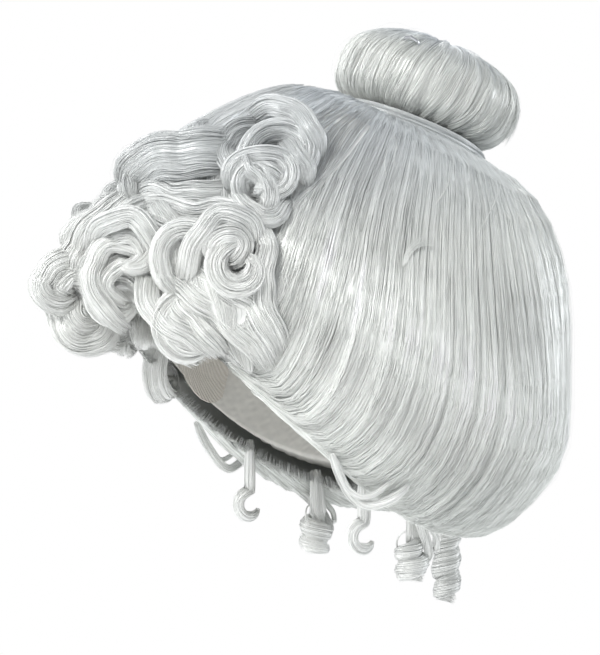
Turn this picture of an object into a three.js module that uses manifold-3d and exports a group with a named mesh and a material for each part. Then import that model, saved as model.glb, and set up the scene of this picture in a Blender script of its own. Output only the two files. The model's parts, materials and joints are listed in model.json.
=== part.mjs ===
// A swept-up costume wig with a topknot. A wefted, adjustable cap carries four sections of hair that are
// rolled out over crepe pads and gathered under the topknot, with loose curls over the forehead and
// ringlets at the nape.
// Millimetres, +Z up, the face towards -Y and the wearer's left towards +X.
// The origin is the point of the cap's lining that rests on the crown of the head.
import * as THREE from "three";
import { mergeVertices } from "three/addons/utils/BufferGeometryUtils.js";
import Module from "manifold-3d";

const wasm = await Module();
wasm.setup();

// ---------- Driving dimensions ----------

// The head that the cap fits: an egg with a height above its widest level and a depth below it.
const head = { halfWidth: 76, halfLength: 96, crownHeight: 96, lowerDepth: 130 };

const seamGap = 0.4; // between pieces that are sewn edge to edge or lie on each other
const fabric = { lift: 0.3, thickness: 1.2 }; // the cap's bands, ribs and crown patch
// `from` is in degrees round from the middle of the face.
const weft = { rows: 4, width: 4, thickness: 1.2, from: 45 };
const crownPatch = { edgeHeight: -24, turns: 28, rows: 5 };
const capEdge = { front: -46, side: -116, back: -172 }; // height of the cap's lower edge round the head
const band = { width: 14, frontEnd: 58, sideEnd: 122 }; // ends in degrees round from the face
const ribs = { width: 8, angles: [78, 129, 180, 231, 282] };
const earTab = { from: 62, to: 84, length: 30, shoulder: 4, hingeGap: 1 };
const tapeTab = { width: 18, height: 8, thickness: 0.8, level: -38 };
const strap = { width: 7, thickness: 1, level: -160, from: 20, to: 56 }; // in degrees round from the nape
const hook = { length: 9, width: 8, thickness: 1, slot: 1.6 };
const loops = { halfSpan: 19, width: 9, thickness: 0.8, count: 6, slotWidth: 3 };

const hairLayer = 13; // thickness of the swept hair over the pads
const padCover = { low: 0.2, high: 0.84 }; // the pads' share of the way from hairline to topknot
const sectionEdges = { front: -48, left: 48, back: 132, right: 228 }; // in degrees round from the face
const sectionSteps = 11;

// The swept hair passes through these rings on its way from the hairline to the topknot. `out` is how far
// each ring stands out beyond the head's half width and half length.
const rim = { lift: { front: 5, side: 15, back: 14 }, height: { front: -47, side: -159, back: -181 } };
const rings = [
  { out: { front: -2, side: 16, back: 10 }, height: { front: -41, side: -167, back: -190 } },
  { out: { front: 2, side: 34, back: 44 }, height: { front: -28, side: -143, back: -162 } },
  { out: { front: -8, side: 42, back: 53.5 }, height: { front: -6, side: -102, back: -108 } },
  { out: { front: -40, side: 30, back: 50 }, height: { front: 25, side: -46, back: -50 } },
  { out: { front: -94, side: 0, back: 33 }, height: { front: 46, side: 6, back: -16 } },
];

const topknot = { centre: [0, 75.8, 43.8], tilt: -23, radius: 50, thickness: 51, roundness: 2.3 };
const topknotCore = { radius: 33, thickness: 22 };
const topknotMouth = 24; // radius of the opening under the topknot where the hair is tucked in
const gather = { radius: 36, stemRadius: 15.5 };
const elastic = { radius: 19, cord: 2.6 };
const pin = { length: 38, spread: 9, wire: 0.9, pitch: 30, seat: 43, height: 13, angles: [195, 315] };
const pinClearance = 0.5;

// ---------- Shapes ----------

const { degToRad } = THREE.MathUtils;
const headCentre = new THREE.Vector3(0, 0, -head.crownHeight);

// A value that runs smoothly from the face round the side to the nape. phi is 0 at the face
// and pi at the nape.
function around(phi, { front, side, back }) {
  const mean = (front + 2 * side + back) / 4;
  return mean + ((front - back) / 2) * Math.cos(phi) + ((front + back - 2 * side) / 4) * Math.cos(2 * phi);
}

// The point of the head at one height and angle, lifted off it.
function headPoint(phi, height, lift) {
  const rise = height + head.crownHeight;
  const reach = (rise > 0 ? head.crownHeight : head.lowerDepth) + lift;
  const share = Math.sqrt(Math.max(0, 1 - (rise / reach) ** 2));
  const x = (head.halfWidth + lift) * share * Math.sin(phi);
  const y = -(head.halfLength + lift) * share * Math.cos(phi);
  return new THREE.Vector3(x, y, height);
}

// The point of the lifted head on the line from the head's centre to another point.
function headUnder(point, lift) {
  const ray = point.clone().sub(headCentre);
  const reach = (ray.z > 0 ? head.crownHeight : head.lowerDepth) + lift;
  const [wide, long] = [head.halfWidth + lift, head.halfLength + lift];
  const share = Math.hypot(ray.x / wide, ray.y / long, ray.z / reach);
  return ray.divideScalar(share).add(headCentre);
}

function evenly(from, to, steps) {
  return Array.from({ length: steps + 1 }, (_, i) => from + ((to - from) * i) / steps);
}

// A closed geometry with its faces pointing out, from points and triples of their numbers.
function closedGeometry(points, faces) {
  const raw = new THREE.BufferGeometry();
  raw.setAttribute("position", new THREE.Float32BufferAttribute(points.flatMap((p) => [p.x, p.y, p.z]), 3));
  raw.setIndex(faces.flat());
  const merged = mergeVertices(raw, 1e-3);
  const old = merged.index.array;
  let kept = [];
  for (let i = 0; i < old.length; i += 3) {
    const [a, b, c] = old.slice(i, i + 3);
    if (a !== b && b !== c && c !== a) kept.push([a, b, c]);
  }
  const corner = (n) => new THREE.Vector3().fromBufferAttribute(merged.attributes.position, n);
  const volume = kept.reduce((sum, [a, b, c]) => sum + corner(a).dot(corner(b).cross(corner(c))), 0);
  if (volume < 0) kept = kept.map(([a, b, c]) => [a, c, b]);
  merged.setIndex(kept.flat());
  return merged;
}

// A solid between an outer and an inner grid. frames[i][k] is a pair of points, [outer, inner].
function shell(frames, closed = false) {
  const across = frames[0].length;
  const points = frames.flat(2);
  const outer = (i, k) => 2 * ((i % frames.length) * across + k);
  const inner = (i, k) => outer(i, k) + 1;
  const faces = [];
  const quad = (a, b, c, d) => faces.push([a, b, c], [a, c, d]);
  const last = closed ? frames.length : frames.length - 1;
  for (let i = 0; i < last; i++) {
    for (let k = 0; k < across - 1; k++) {
      quad(outer(i, k), outer(i + 1, k), outer(i + 1, k + 1), outer(i, k + 1));
      quad(inner(i, k), inner(i, k + 1), inner(i + 1, k + 1), inner(i + 1, k));
    }
    quad(outer(i, 0), inner(i, 0), inner(i + 1, 0), outer(i + 1, 0));
    quad(outer(i, across - 1), outer(i + 1, across - 1), inner(i + 1, across - 1), inner(i, across - 1));
  }
  if (!closed) {
    for (let k = 0; k < across - 1; k++) {
      quad(outer(0, k), outer(0, k + 1), inner(0, k + 1), inner(0, k));
      quad(outer(last, k), inner(last, k), inner(last, k + 1), outer(last, k + 1));
    }
  }
  return closedGeometry(points, faces);
}

// A round bar along a curve.
function bar(curve, radius, sides, steps) {
  const corners = evenly(0, 2 * Math.PI, sides).slice(0, sides);
  const points = corners.map((a) => new THREE.Vector2(radius * Math.cos(a), radius * Math.sin(a)));
  const section = new THREE.Shape(points);
  return new THREE.ExtrudeGeometry(section, { steps, extrudePath: curve, curveSegments: 1 });
}

// ---------- Joins and cuts ----------

function solid(geometry) {
  const bare = new THREE.BufferGeometry().setAttribute("position", geometry.getAttribute("position"));
  if (geometry.index) bare.setIndex(geometry.index);
  const merged = mergeVertices(bare, 1e-4);
  const mesh = { numProp: 3, vertProperties: merged.attributes.position.array };
  return new wasm.Manifold(new wasm.Mesh({ ...mesh, triVerts: new Uint32Array(merged.index.array) }));
}

function geometryOf(body) {
  const mesh = body.getMesh();
  const geometry = new THREE.BufferGeometry();
  geometry.setAttribute("position", new THREE.BufferAttribute(new Float32Array(mesh.vertProperties), 3));
  geometry.setIndex(new THREE.BufferAttribute(mesh.triVerts, 1));
  return geometry;
}

// What is left of a body after its neighbours are cut from it, without the crumbs.
function cut(body, cutters) {
  const left = cutters.reduce((rest, cutter) => rest.subtract(cutter), body);
  return left.decompose().reduce((best, piece) => (piece.volume() > best.volume() ? piece : best));
}

// ---------- Materials ----------

const paint = (color, roughness) => new THREE.MeshStandardMaterial({ color, roughness, metalness: 0 });
const finish = {
  hair: paint(0xd3d7d5, 0.45),
  curl: paint(0xdcdedb, 0.42),
  pad: paint(0xc9ccca, 0.9),
  cap: paint(0xd9d4c8, 0.85),
  elastic: paint(0xe8e6e0, 0.7),
  plastic: paint(0xe9e9e4, 0.35),
  pin: new THREE.MeshStandardMaterial({ color: 0xb9bcc0, roughness: 0.3, metalness: 0.9 }),
};

const wig = new THREE.Group();

function add(name, geometry, material, parent = wig) {
  const mesh = new THREE.Mesh(geometry, material);
  mesh.name = name;
  parent.add(mesh);
  return mesh;
}

// ---------- Cap ----------

const capInner = fabric.lift;
const capOuter = fabric.lift + fabric.thickness;
const weftInner = capOuter + seamGap;
const weftOuter = weftInner + weft.thickness;
const hairInner = weftOuter + 1.5 * seamGap;
const padInner = weftOuter + 5 * seamGap;
const bandTop = (phi) => around(phi, capEdge) + band.width;

const onCap = (phi, height) => [headPoint(phi, height, capOuter), headPoint(phi, height, capInner)];

// The closed cloth dome over the crown.
function crownPatchShell() {
  const startRise = crownPatch.edgeHeight + head.crownHeight;
  const frames = evenly(0, 2 * Math.PI, crownPatch.turns).slice(0, crownPatch.turns);
  const climb = (lift) => {
    const top = head.crownHeight + lift;
    const start = Math.asin(startRise / top);
    return evenly(start, Math.PI / 2, crownPatch.rows).map((a) => -head.crownHeight + top * Math.sin(a));
  };
  const outer = climb(capOuter);
  const inner = climb(capInner);
  return shell(frames.map((phi) => outer.map((height, k) => [
    headPoint(phi, height, capOuter),
    headPoint(phi, inner[k], capInner),
  ])), true);
}

// A band of the cap's edge between two angles, in degrees round from the face.
function edgeBand(from, to, steps) {
  const trim = (seamGap / 2 / head.halfWidth) * (180 / Math.PI);
  return shell(evenly(degToRad(from + trim), degToRad(to - trim), steps).map((phi) => [
    onCap(phi, around(phi, capEdge)),
    onCap(phi, bandTop(phi) - band.width / 2),
    onCap(phi, bandTop(phi)),
  ]));
}

// An elastic rib from the band up to the crown patch.
function rib(angle) {
  const phi = degToRad(angle);
  const foot = bandTop(phi);
  return shell(evenly(0, 1, 8).map((t) => {
    const level = foot + t * (crownPatch.edgeHeight - foot);
    const turn = ribs.width / 2 / headPoint(phi, level, capOuter).setZ(0).length();
    return [phi - turn, phi + turn].map((side) => {
      const low = bandTop(side) + 2 * seamGap;
      return onCap(side, low + t * (crownPatch.edgeHeight - 2 * seamGap - low));
    });
  }));
}

// One row of machined hair, from one temple round the back to the other.
function weftRow(row) {
  const share = (row + 1) / (weft.rows + 1);
  return shell(evenly(degToRad(weft.from), degToRad(360 - weft.from), 34).map((phi) => {
    const low = bandTop(phi);
    const height = low + share * (crownPatch.edgeHeight - low);
    return [-weft.width / 2, weft.width / 2].map((step) => [
      headPoint(phi, height + step, weftOuter),
      headPoint(phi, height + step, weftInner),
    ]);
  }));
}

// The tab in front of an ear, which hangs from the side band.
function earTabPlate(side) {
  return shell(evenly(0, 1, 8).map((t) => {
    const phi = side * degToRad(earTab.from + t * (earTab.to - earTab.from));
    const top = around(phi, capEdge) - earTab.hingeGap;
    const drop = earTab.shoulder + (earTab.length - earTab.shoulder) * Math.sqrt(Math.sin(Math.PI * t));
    return [onCap(phi, top), onCap(phi, top - drop / 2), onCap(phi, top - drop)];
  }));
}

add("crown_patch", crownPatchShell(), finish.cap);
add("front_band", edgeBand(-band.frontEnd, band.frontEnd, 16), finish.cap);
add("side_band_left", edgeBand(band.frontEnd, band.sideEnd, 9), finish.cap);
add("side_band_right", edgeBand(360 - band.sideEnd, 360 - band.frontEnd, 9), finish.cap);
add("nape_band", edgeBand(band.sideEnd, 360 - band.sideEnd, 16), finish.cap);
ribs.angles.forEach((angle, i) => add(`cap_rib_${i + 1}`, rib(angle), finish.elastic));
for (let row = 0; row < weft.rows; row++) add(`weft_row_${row + 1}`, weftRow(row), finish.elastic);
add("ear_tab_left", earTabPlate(1), finish.cap);
add("ear_tab_right", earTabPlate(-1), finish.cap);

// The flat patch behind the front band that takes wig tape. It lies square to the forehead.
const tapeRise = tapeTab.level + head.crownHeight;
const tapeNormal = new THREE.Vector3(0, 0, tapeRise / head.crownHeight ** 2);
tapeNormal.y = headPoint(0, tapeTab.level, capInner).y / head.halfLength ** 2;
tapeNormal.normalize();
const tapeLevelShare = Math.sqrt(1 - (tapeRise / head.crownHeight) ** 2);
const foreheadRadius = (tapeLevelShare * head.halfWidth ** 2) / head.halfLength;
const tapeSag = tapeTab.width ** 2 / 8 / foreheadRadius + 1.5 * seamGap;
const tapePatch = add(
  "front_tape_tab",
  new THREE.BoxGeometry(tapeTab.width, tapeTab.thickness, tapeTab.height),
  finish.plastic,
);
tapePatch.position.copy(headPoint(0, tapeTab.level, capInner));
tapePatch.position.addScaledVector(tapeNormal, -tapeSag - tapeTab.thickness / 2);
tapePatch.rotation.x = Math.atan2(-tapeNormal.z, -tapeNormal.y);

// ---------- Nape adjusters ----------

// The straps ride inside the nape band on the circle that best fits it.
const strapFoot = headPoint(Math.PI, strap.level - hook.width / 2, capInner);
const strapSide = headPoint(Math.PI / 2, strap.level - hook.width / 2, capInner);
const napeRadius = strapSide.x ** 2 / strapFoot.y;
const napeAxis = new THREE.Vector3(0, strapFoot.y - napeRadius, strap.level);
const loopsOuter = napeRadius - 1.5 * seamGap;
const strapOuter = loopsOuter - loops.thickness - seamGap;

// A point on a circle about the nape axis. The angle is in degrees round from the back, towards
// the wearer's left.
function napePoint(angle, radius, step) {
  const turn = degToRad(angle);
  return new THREE.Vector3(radius * Math.sin(turn), radius * Math.cos(turn), step).add(napeAxis);
}

function napeStrip(from, to, width, outerRadius, thickness, steps) {
  return shell(evenly(from, to, steps).map((angle) => [-width / 2, width / 2].map((step) => [
    napePoint(angle, outerRadius, step),
    napePoint(angle, outerRadius - thickness, step),
  ])));
}

// The sewn strip with a row of loops for the hooks.
function loopStrip() {
  const { halfSpan, width, thickness } = loops;
  const strip = solid(napeStrip(-halfSpan, halfSpan, width, loopsOuter, thickness, 12));
  const pitch = (2 * loops.halfSpan) / loops.count;
  const slots = evenly(0, loops.count - 1, loops.count - 1).map((i) => {
    const slot = new THREE.BoxGeometry(loops.slotWidth, 6 * loops.thickness, loops.width * 0.55);
    const angle = -loops.halfSpan + pitch * (i + 0.5);
    slot.rotateZ(-degToRad(angle));
    const centre = napePoint(angle, loopsOuter - loops.thickness / 2, 0);
    return solid(slot.translate(centre.x, centre.y, centre.z));
  });
  return geometryOf(cut(strip, slots));
}

// A flat moulded hook with an eye for the strap and a bent finger.
function strapHook(side) {
  const { length, width, thickness, slot } = hook;
  const outline = new THREE.Shape();
  outline.moveTo(0, -width / 2);
  outline.lineTo(length * 0.45, -width / 2);
  outline.lineTo(length, -width / 4);
  outline.lineTo(length, width / 2);
  outline.lineTo(length - 2 * slot, width / 2);
  outline.lineTo(length - 2 * slot, width / 4);
  outline.lineTo(length - slot, width / 4);
  outline.lineTo(length - slot, 0);
  outline.lineTo(length * 0.45, 0);
  outline.lineTo(length * 0.45, width / 2);
  outline.lineTo(0, width / 2);
  const eye = new THREE.Path();
  eye.moveTo(slot / 2, -width / 3);
  eye.lineTo(slot / 2, width / 3);
  eye.lineTo(1.5 * slot, width / 3);
  eye.lineTo(1.5 * slot, -width / 3);
  outline.holes.push(eye);
  const plate = new THREE.ExtrudeGeometry(outline, { depth: thickness, bevelEnabled: false, steps: 1 });
  // Stood up with its length towards the middle of the nape and its thickness inwards.
  plate.rotateX(Math.PI / 2);
  plate.translate(seamGap, 0, 0);
  if (side > 0) plate.rotateZ(Math.PI).translate(0, -thickness, 0);
  const place = napePoint(side * strap.from, strapOuter - seamGap / 2, 0);
  const lean = (90 * length) / (Math.PI * strapOuter);
  plate.rotateZ(-degToRad(side * (strap.from - 1.5 * lean)));
  return plate.translate(place.x, place.y, place.z);
}

function adjuster(side, name) {
  const [from, to] = side > 0 ? [strap.from, strap.to] : [-strap.to, -strap.from];
  const strip = napeStrip(from, to, strap.width, strapOuter, strap.thickness, 8);
  add(`adjuster_strap_${name}`, strip, finish.elastic);
  add(`adjuster_hook_${name}`, strapHook(side), finish.plastic);
}

add("adjuster_loops", loopStrip(), finish.elastic);
adjuster(1, "left");
adjuster(-1, "right");

// ---------- Topknot ----------

const knot = new THREE.Group();
knot.position.set(...topknot.centre);
knot.rotation.x = degToRad(topknot.tilt);
wig.add(knot);
knot.updateMatrix();

const knotHalf = topknot.thickness / 2;
const coreHalf = topknotCore.thickness / 2;
const knotFoot = -knotHalf - 3 * seamGap; // level of the gathered hair under the topknot

// The quarter outline of the topknot from its rim up to its axis, grown by a margin.
function knotProfile(margin, steps) {
  const power = 2 / topknot.roundness;
  return evenly(0, Math.PI / 2, steps).map((a) => new THREE.Vector2(
    (topknot.radius + margin) * Math.cos(a) ** power,
    (knotHalf + margin) * Math.sin(a) ** power,
  ));
}

const upright = (geometry) => geometry.rotateX(Math.PI / 2); // a lathe's axis is Y

// The topknot as a plain solid, for cutting room around it.
function knotBlank(margin) {
  const upper = knotProfile(margin, 8);
  upper[upper.length - 1].x = 0;
  const lower = upper.map((p) => new THREE.Vector2(p.x, -p.y)).reverse();
  return upright(new THREE.LatheGeometry([...lower.slice(0, -1), ...upper], 28));
}

// The room of one hairpin along its whole path, as a flat slot in the topknot's frame.
function pinFrame(angle) {
  const turn = degToRad(angle);
  const frame = new THREE.Object3D();
  frame.position.set(pin.seat * Math.cos(turn), pin.seat * Math.sin(turn), pin.height);
  frame.rotation.set(0, -degToRad(pin.pitch), turn, "ZYX");
  frame.updateMatrix();
  return frame;
}

function pinSlot(angle) {
  const reach = pin.length + pin.seat;
  const thick = 2 * (pin.wire + pinClearance);
  const slot = new THREE.BoxGeometry(reach, pin.spread + thick, thick);
  slot.translate(reach / 2 - pin.length - pinClearance, 0, 0);
  return slot.applyMatrix4(pinFrame(angle).matrix);
}

const pinSlots = pin.angles.map((angle) => solid(pinSlot(angle)));

// Hair spread over the filling and tucked in underneath.
function knotHair() {
  const upper = knotProfile(0, 8);
  upper[upper.length - 1].x = 0;
  const roofed = [...upper].reverse();
  const mirrored = upper.slice(1).map((p) => new THREE.Vector2(p.x, -p.y));
  const under = mirrored.filter((p) => p.x > topknotMouth + 1);
  const room = coreHalf + seamGap;
  const outline = [
    ...roofed,
    ...under,
    new THREE.Vector2(topknotMouth, -knotHalf + seamGap),
    new THREE.Vector2(topknotMouth, -room),
    new THREE.Vector2(topknotCore.radius + seamGap, -room),
    new THREE.Vector2(topknotCore.radius + seamGap, room),
    new THREE.Vector2(0, room),
  ];
  return upright(new THREE.LatheGeometry(outline.reverse(), 28));
}

function knotCore() {
  const { radius, thickness } = topknotCore;
  return upright(new THREE.CylinderGeometry(radius, radius, thickness, 24));
}

// A bent wire pin: two legs and the bend that stands out of the hair.
function hairpin() {
  const half = pin.spread / 2;
  const legs = evenly(-pin.length, 0, 4);
  const bend = evenly(-90, 90, 6).map((a) => new THREE.Vector3(
    half * Math.cos(degToRad(a)),
    half * Math.sin(degToRad(a)),
    0,
  ));
  const points = [
    ...legs.slice(0, -1).map((x) => new THREE.Vector3(x, -half, 0)),
    ...bend,
    ...legs.slice(0, -1).reverse().map((x) => new THREE.Vector3(x, half, 0)),
  ];
  return bar(new THREE.CatmullRomCurve3(points), pin.wire, 6, 22);
}

add("topknot_hair", geometryOf(cut(solid(knotHair()), pinSlots)), finish.hair, knot);
add("topknot_core", geometryOf(cut(solid(knotCore()), pinSlots)), finish.pad, knot);
const elasticRing = new THREE.TorusGeometry(elastic.radius, elastic.cord, 7, 20);
add("topknot_elastic", elasticRing.translate(0, 0, (knotFoot - coreHalf) / 2), finish.elastic, knot);
pin.angles.forEach((angle, i) => {
  const mesh = add(`hairpin_${i + 1}`, hairpin(), finish.pin, knot);
  const frame = pinFrame(angle);
  mesh.position.copy(frame.position);
  mesh.rotation.copy(frame.rotation);
});

// ---------- Swept hair and pads ----------

const knotRoom = solid(knotBlank(seamGap).applyMatrix4(knot.matrix));

function ringPoint({ out, height }, phi) {
  const middle = (out.back - out.front) / 2;
  const reach = head.halfLength + (out.back + out.front) / 2;
  const halfWidth = head.halfWidth + out.side;
  return new THREE.Vector3(halfWidth * Math.sin(phi), middle - reach * Math.cos(phi), around(phi, height));
}

function gatherPoint(phi, radius) {
  const point = new THREE.Vector3(radius * Math.sin(phi), -radius * Math.cos(phi), knotFoot);
  return point.applyMatrix4(knot.matrix);
}

// The way a lock takes over the outside of the pouf, from the hairline to the topknot.
function sweep(phi) {
  const start = headPoint(phi, around(phi, rim.height), around(phi, rim.lift));
  const points = [start, ...rings.map((ring) => ringPoint(ring, phi)), gatherPoint(phi, gather.radius)];
  return new THREE.CatmullRomCurve3(points, false, "centripetal");
}

// A point towards the head's centre from the outside of the pouf, at a depth but never nearer the
// head than a lift.
function beneath(point, depth, leastLift) {
  const inward = headCentre.clone().sub(point).normalize();
  const sunk = point.clone().addScaledVector(inward, depth);
  const least = headUnder(point, leastLift);
  return sunk.distanceTo(headCentre) > least.distanceTo(headCentre) ? sunk : least;
}

const leastPad = 2;
const lipStep = 0.004; // share of the way that the lip over a pad's end takes
const padShares = evenly(padCover.low, padCover.high, 7);
const lipShares = [0, padCover.low * 0.45, padCover.low - lipStep];
const topShares = [padCover.high + lipStep, (1 + padCover.high) / 2, 1];
const gapAngle = (distance) => distance / head.halfWidth;

function hairSection(from, to) {
  const trim = gapAngle(seamGap / 2);
  return shell(evenly(degToRad(from) + trim, degToRad(to) - trim, sectionSteps).map((phi) => {
    const way = sweep(phi);
    const lip = (share) => [way.getPoint(share), headUnder(way.getPoint(share), hairInner)];
    const overPad = (share) => {
      const top = way.getPoint(share);
      return [top, beneath(top, hairLayer, padInner + leastPad + 3 * seamGap)];
    };
    return [...lipShares.map(lip), ...padShares.map(overPad), ...topShares.map(lip)];
  }));
}

function padSection(from, to) {
  const trim = gapAngle(2 * seamGap);
  const endTrim = 3 * lipStep;
  const shares = [padCover.low + endTrim, ...padShares.slice(1, -1), padCover.high - endTrim];
  return shell(evenly(degToRad(from) + trim, degToRad(to) - trim, sectionSteps).map((phi) => {
    const way = sweep(phi);
    return shares.map((share) => {
      const top = way.getPoint(share);
      return [beneath(top, hairLayer + 4 * seamGap, padInner + leastPad), headUnder(top, padInner)];
    });
  }));
}

// The hair drawn together under the topknot, with its stem through the elastic.
function gatheredHair() {
  const radii = evenly(gather.radius - seamGap, 0, 4);
  const root = solid(shell(evenly(0, 2 * Math.PI, 24).slice(0, 24).map((phi) => radii.map((radius) => {
    const top = gatherPoint(phi, radius);
    return [top, headUnder(top, hairInner)];
  })), true));
  const stemTop = -coreHalf - 2 * seamGap;
  const length = stemTop - knotFoot + 2;
  const stem = upright(new THREE.CylinderGeometry(gather.stemRadius, gather.stemRadius, length, 20));
  stem.translate(0, 0, (stemTop + knotFoot) / 2 - 1);
  return geometryOf(root.add(solid(stem.applyMatrix4(knot.matrix))));
}

const edges = Object.entries(sectionEdges);
const poufSections = edges.map(([name, from], i) => {
  const to = i + 1 < edges.length ? edges[i + 1][1] : 360 + edges[0][1];
  add(`pad_${name}`, padSection(from, to), finish.pad);
  return { name, body: cut(solid(hairSection(from, to)), [knotRoom]) };
});
poufSections.forEach(({ name, body }) => add(`hair_${name}`, geometryOf(body), finish.hair));
add("hair_gather", gatheredHair(), finish.hair);

// ---------- Curls ----------

// Each curl is a lock that turns about a centre, seen from the way it faces. The centre is over the pouf:
// `at` an angle round from the face and a share of the way up, `out` from the pouf and `drop` below it.
// `radius` is that of its turn and `lock` that of the lock itself. It starts at an angle from the right hand,
// turns through `sweep` degrees, and moves along `facing` by `rise`. `tighten` is the share of its radius
// that it loses on the way.
const leftward = [0.92, -0.38, 0.1];
const frontCurls = [
  {
    at: [-10, 0.2], out: 32, drop: 20, facing: leftward,
    radius: 9.5, lock: 9, start: 60, sweep: 270, rise: -12, tighten: 0.3,
  },
  {
    at: [-17, 0.1], out: 21, drop: 31, facing: leftward,
    radius: 12, lock: 9, start: 50, sweep: -310, rise: 12, tighten: 0.35,
  },
  {
    at: [9, 0.15], out: 16, drop: 20, facing: leftward,
    radius: 13.5, lock: 8, start: 20, sweep: 310, rise: 6, tighten: 0.3,
  },
  {
    at: [37, 0.1], out: 9, drop: 1, facing: leftward,
    radius: 14.5, lock: 8.5, start: 110, sweep: 200, rise: 10, tighten: 0.05,
  },
  {
    at: [-37, 0.1], out: 14, drop: 6, facing: [-0.7, -0.7, 0],
    radius: 13, lock: 9, start: 90, sweep: 280, rise: 8, tighten: 0.25,
  },
  {
    at: [-7, 0.25], out: 15, drop: 4, facing: leftward,
    radius: 11.5, lock: 12, start: 10, sweep: 200, rise: -14, tighten: 0.2,
  },
  {
    at: [14, 0.28], out: 13, drop: 0, facing: leftward,
    radius: 12.5, lock: 8, start: 120, sweep: -230, rise: 8, tighten: 0.15,
  },
  {
    at: [30, 0.39], out: 9, drop: 0, facing: leftward,
    radius: 13.5, lock: 7.5, start: 205, sweep: -200, rise: 8, tighten: 0,
  },
  {
    at: [42, 0.46], out: 11, drop: 0, facing: leftward,
    radius: 12.5, lock: 7, start: 110, sweep: 300, rise: 6, tighten: 0.45,
  },
  {
    at: [-25, 0.32], out: 15, drop: 0, facing: [-0.5, -0.8, 0.2],
    radius: 14, lock: 10, start: 40, sweep: 280, rise: 10, tighten: 0.25,
  },
  {
    at: [-43, 0.45], out: 11, drop: 0, facing: [-0.95, -0.3, 0.1],
    radius: 14, lock: 9, start: 120, sweep: -280, rise: 6, tighten: 0.3,
  },
  {
    at: [8, 0.49], out: -3, drop: 0, facing: [0.85, -0.35, 0.35],
    radius: 15, lock: 12.5, start: 10, sweep: 230, rise: -10, tighten: 0.2,
  },
  {
    at: [35, 0.58], out: 8, drop: 0, facing: leftward,
    radius: 15, lock: 7, start: 70, sweep: -120, rise: 4, tighten: 0,
  },
  {
    at: [37, 0.68], out: 8, drop: 0, facing: [0.85, -0.3, 0.4],
    radius: 16, lock: 8, start: 175, sweep: -225, rise: 4, tighten: 0.1,
  },
  {
    at: [36, 0.62], out: 11, drop: 0, facing: [0.88, -0.33, 0.3],
    radius: 7.5, lock: 5.5, start: 200, sweep: -290, rise: 5, tighten: 0.3,
  },
  {
    at: [12, 0.66], out: -3, drop: 3, facing: [0.5, -0.4, 0.8],
    radius: 13, lock: 8, start: 180, sweep: 230, rise: 6, tighten: 0.2,
  },
  {
    at: [-16, 0.5], out: -2, drop: 2, facing: [-0.3, -0.7, 0.6],
    radius: 13, lock: 8.5, start: 0, sweep: 270, rise: 8, tighten: 0.25,
  },
  {
    at: [-35, 0.6], out: 6, drop: 0, facing: [-0.8, -0.3, 0.5],
    radius: 13, lock: 9, start: 60, sweep: -270, rise: 6, tighten: 0.25,
  },
  {
    at: [-12, 0.6], out: -6, drop: 4, facing: [-0.3, -0.4, 0.9],
    radius: 10, lock: 7, start: 120, sweep: 250, rise: 6, tighten: 0.2,
  },
];

function curlCentre({ at: [angle, share], out, drop }) {
  const phi = degToRad(angle);
  const offset = new THREE.Vector3(out * Math.sin(phi), -out * Math.cos(phi), -drop);
  return sweep(phi).getPoint(share).add(offset);
}

// The middle line of a curl.
function curlLine(curl) {
  const { facing, radius, start, rise, tighten } = curl;
  const centre = curlCentre(curl);
  const axis = new THREE.Vector3(...facing).normalize();
  const guide = Math.abs(axis.z) > 0.9 ? new THREE.Vector3(0, -1, 0) : new THREE.Vector3(0, 0, 1);
  const up = guide.addScaledVector(axis, -guide.dot(axis)).normalize();
  const right = up.clone().cross(axis);
  const points = evenly(0, 1, 14).map((t) => {
    const angle = degToRad(start + curl.sweep * t);
    const reach = radius * (1 - tighten * t);
    return centre.clone()
      .addScaledVector(right, reach * Math.cos(angle))
      .addScaledVector(up, reach * Math.sin(angle))
      .addScaledVector(axis, rise * (t - 0.5));
  });
  return new THREE.CatmullRomCurve3(points);
}

// The pouf with room around it, so that curls lie on it.
function poufRoom() {
  const away = (point) => point.clone().sub(headCentre).normalize();
  const grown = (point) => point.clone().addScaledVector(away(point), 2 * seamGap);
  const angles = edges.flatMap(([, from], i) => {
    const to = i + 1 < edges.length ? edges[i + 1][1] : 360 + edges[0][1];
    return evenly(from, to, sectionSteps).slice(0, sectionSteps);
  });
  return solid(shell(angles.map((angle) => {
    const way = sweep(degToRad(angle));
    const start = grown(headUnder(way.getPoint(0), 0));
    const shares = [...lipShares, ...padShares, ...topShares];
    return [[start, headCentre], ...shares.map((share) => [grown(way.getPoint(share)), headCentre])];
  }), true));
}

const taken = [poufRoom(), knotRoom];
frontCurls.forEach((curl, i) => {
  const line = curlLine(curl);
  const body = cut(solid(bar(line, curl.lock, 6, 12)), taken);
  add(`front_curl_${String(i + 1).padStart(2, "0")}`, geometryOf(body), finish.curl);
  taken.push(solid(bar(line, curl.lock + seamGap, 6, 12)));
});

// ---------- Nape ringlets ----------

// Each swings about an axis along X at the height of its pivot, within `swing` degrees.
const backRinglet = {
  root: [-6, 91, -181], pivot: -183, swing: [-15, 12],
  radius: 5, lock: 4.2, stem: 6, drop: 51, turns: 4,
};
const sideRinglet = {
  root: [64, 38, -173], pivot: -175, swing: [-15, 12],
  radius: 6.2, lock: 3.6, stem: 23, drop: 18, turns: 2,
};
const hookRinglet = {
  root: [78, 4, -156], pivot: -158, swing: [-12, 12],
  radius: 8, lock: 3.4, drop: 33, sweep: 250,
};

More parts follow.
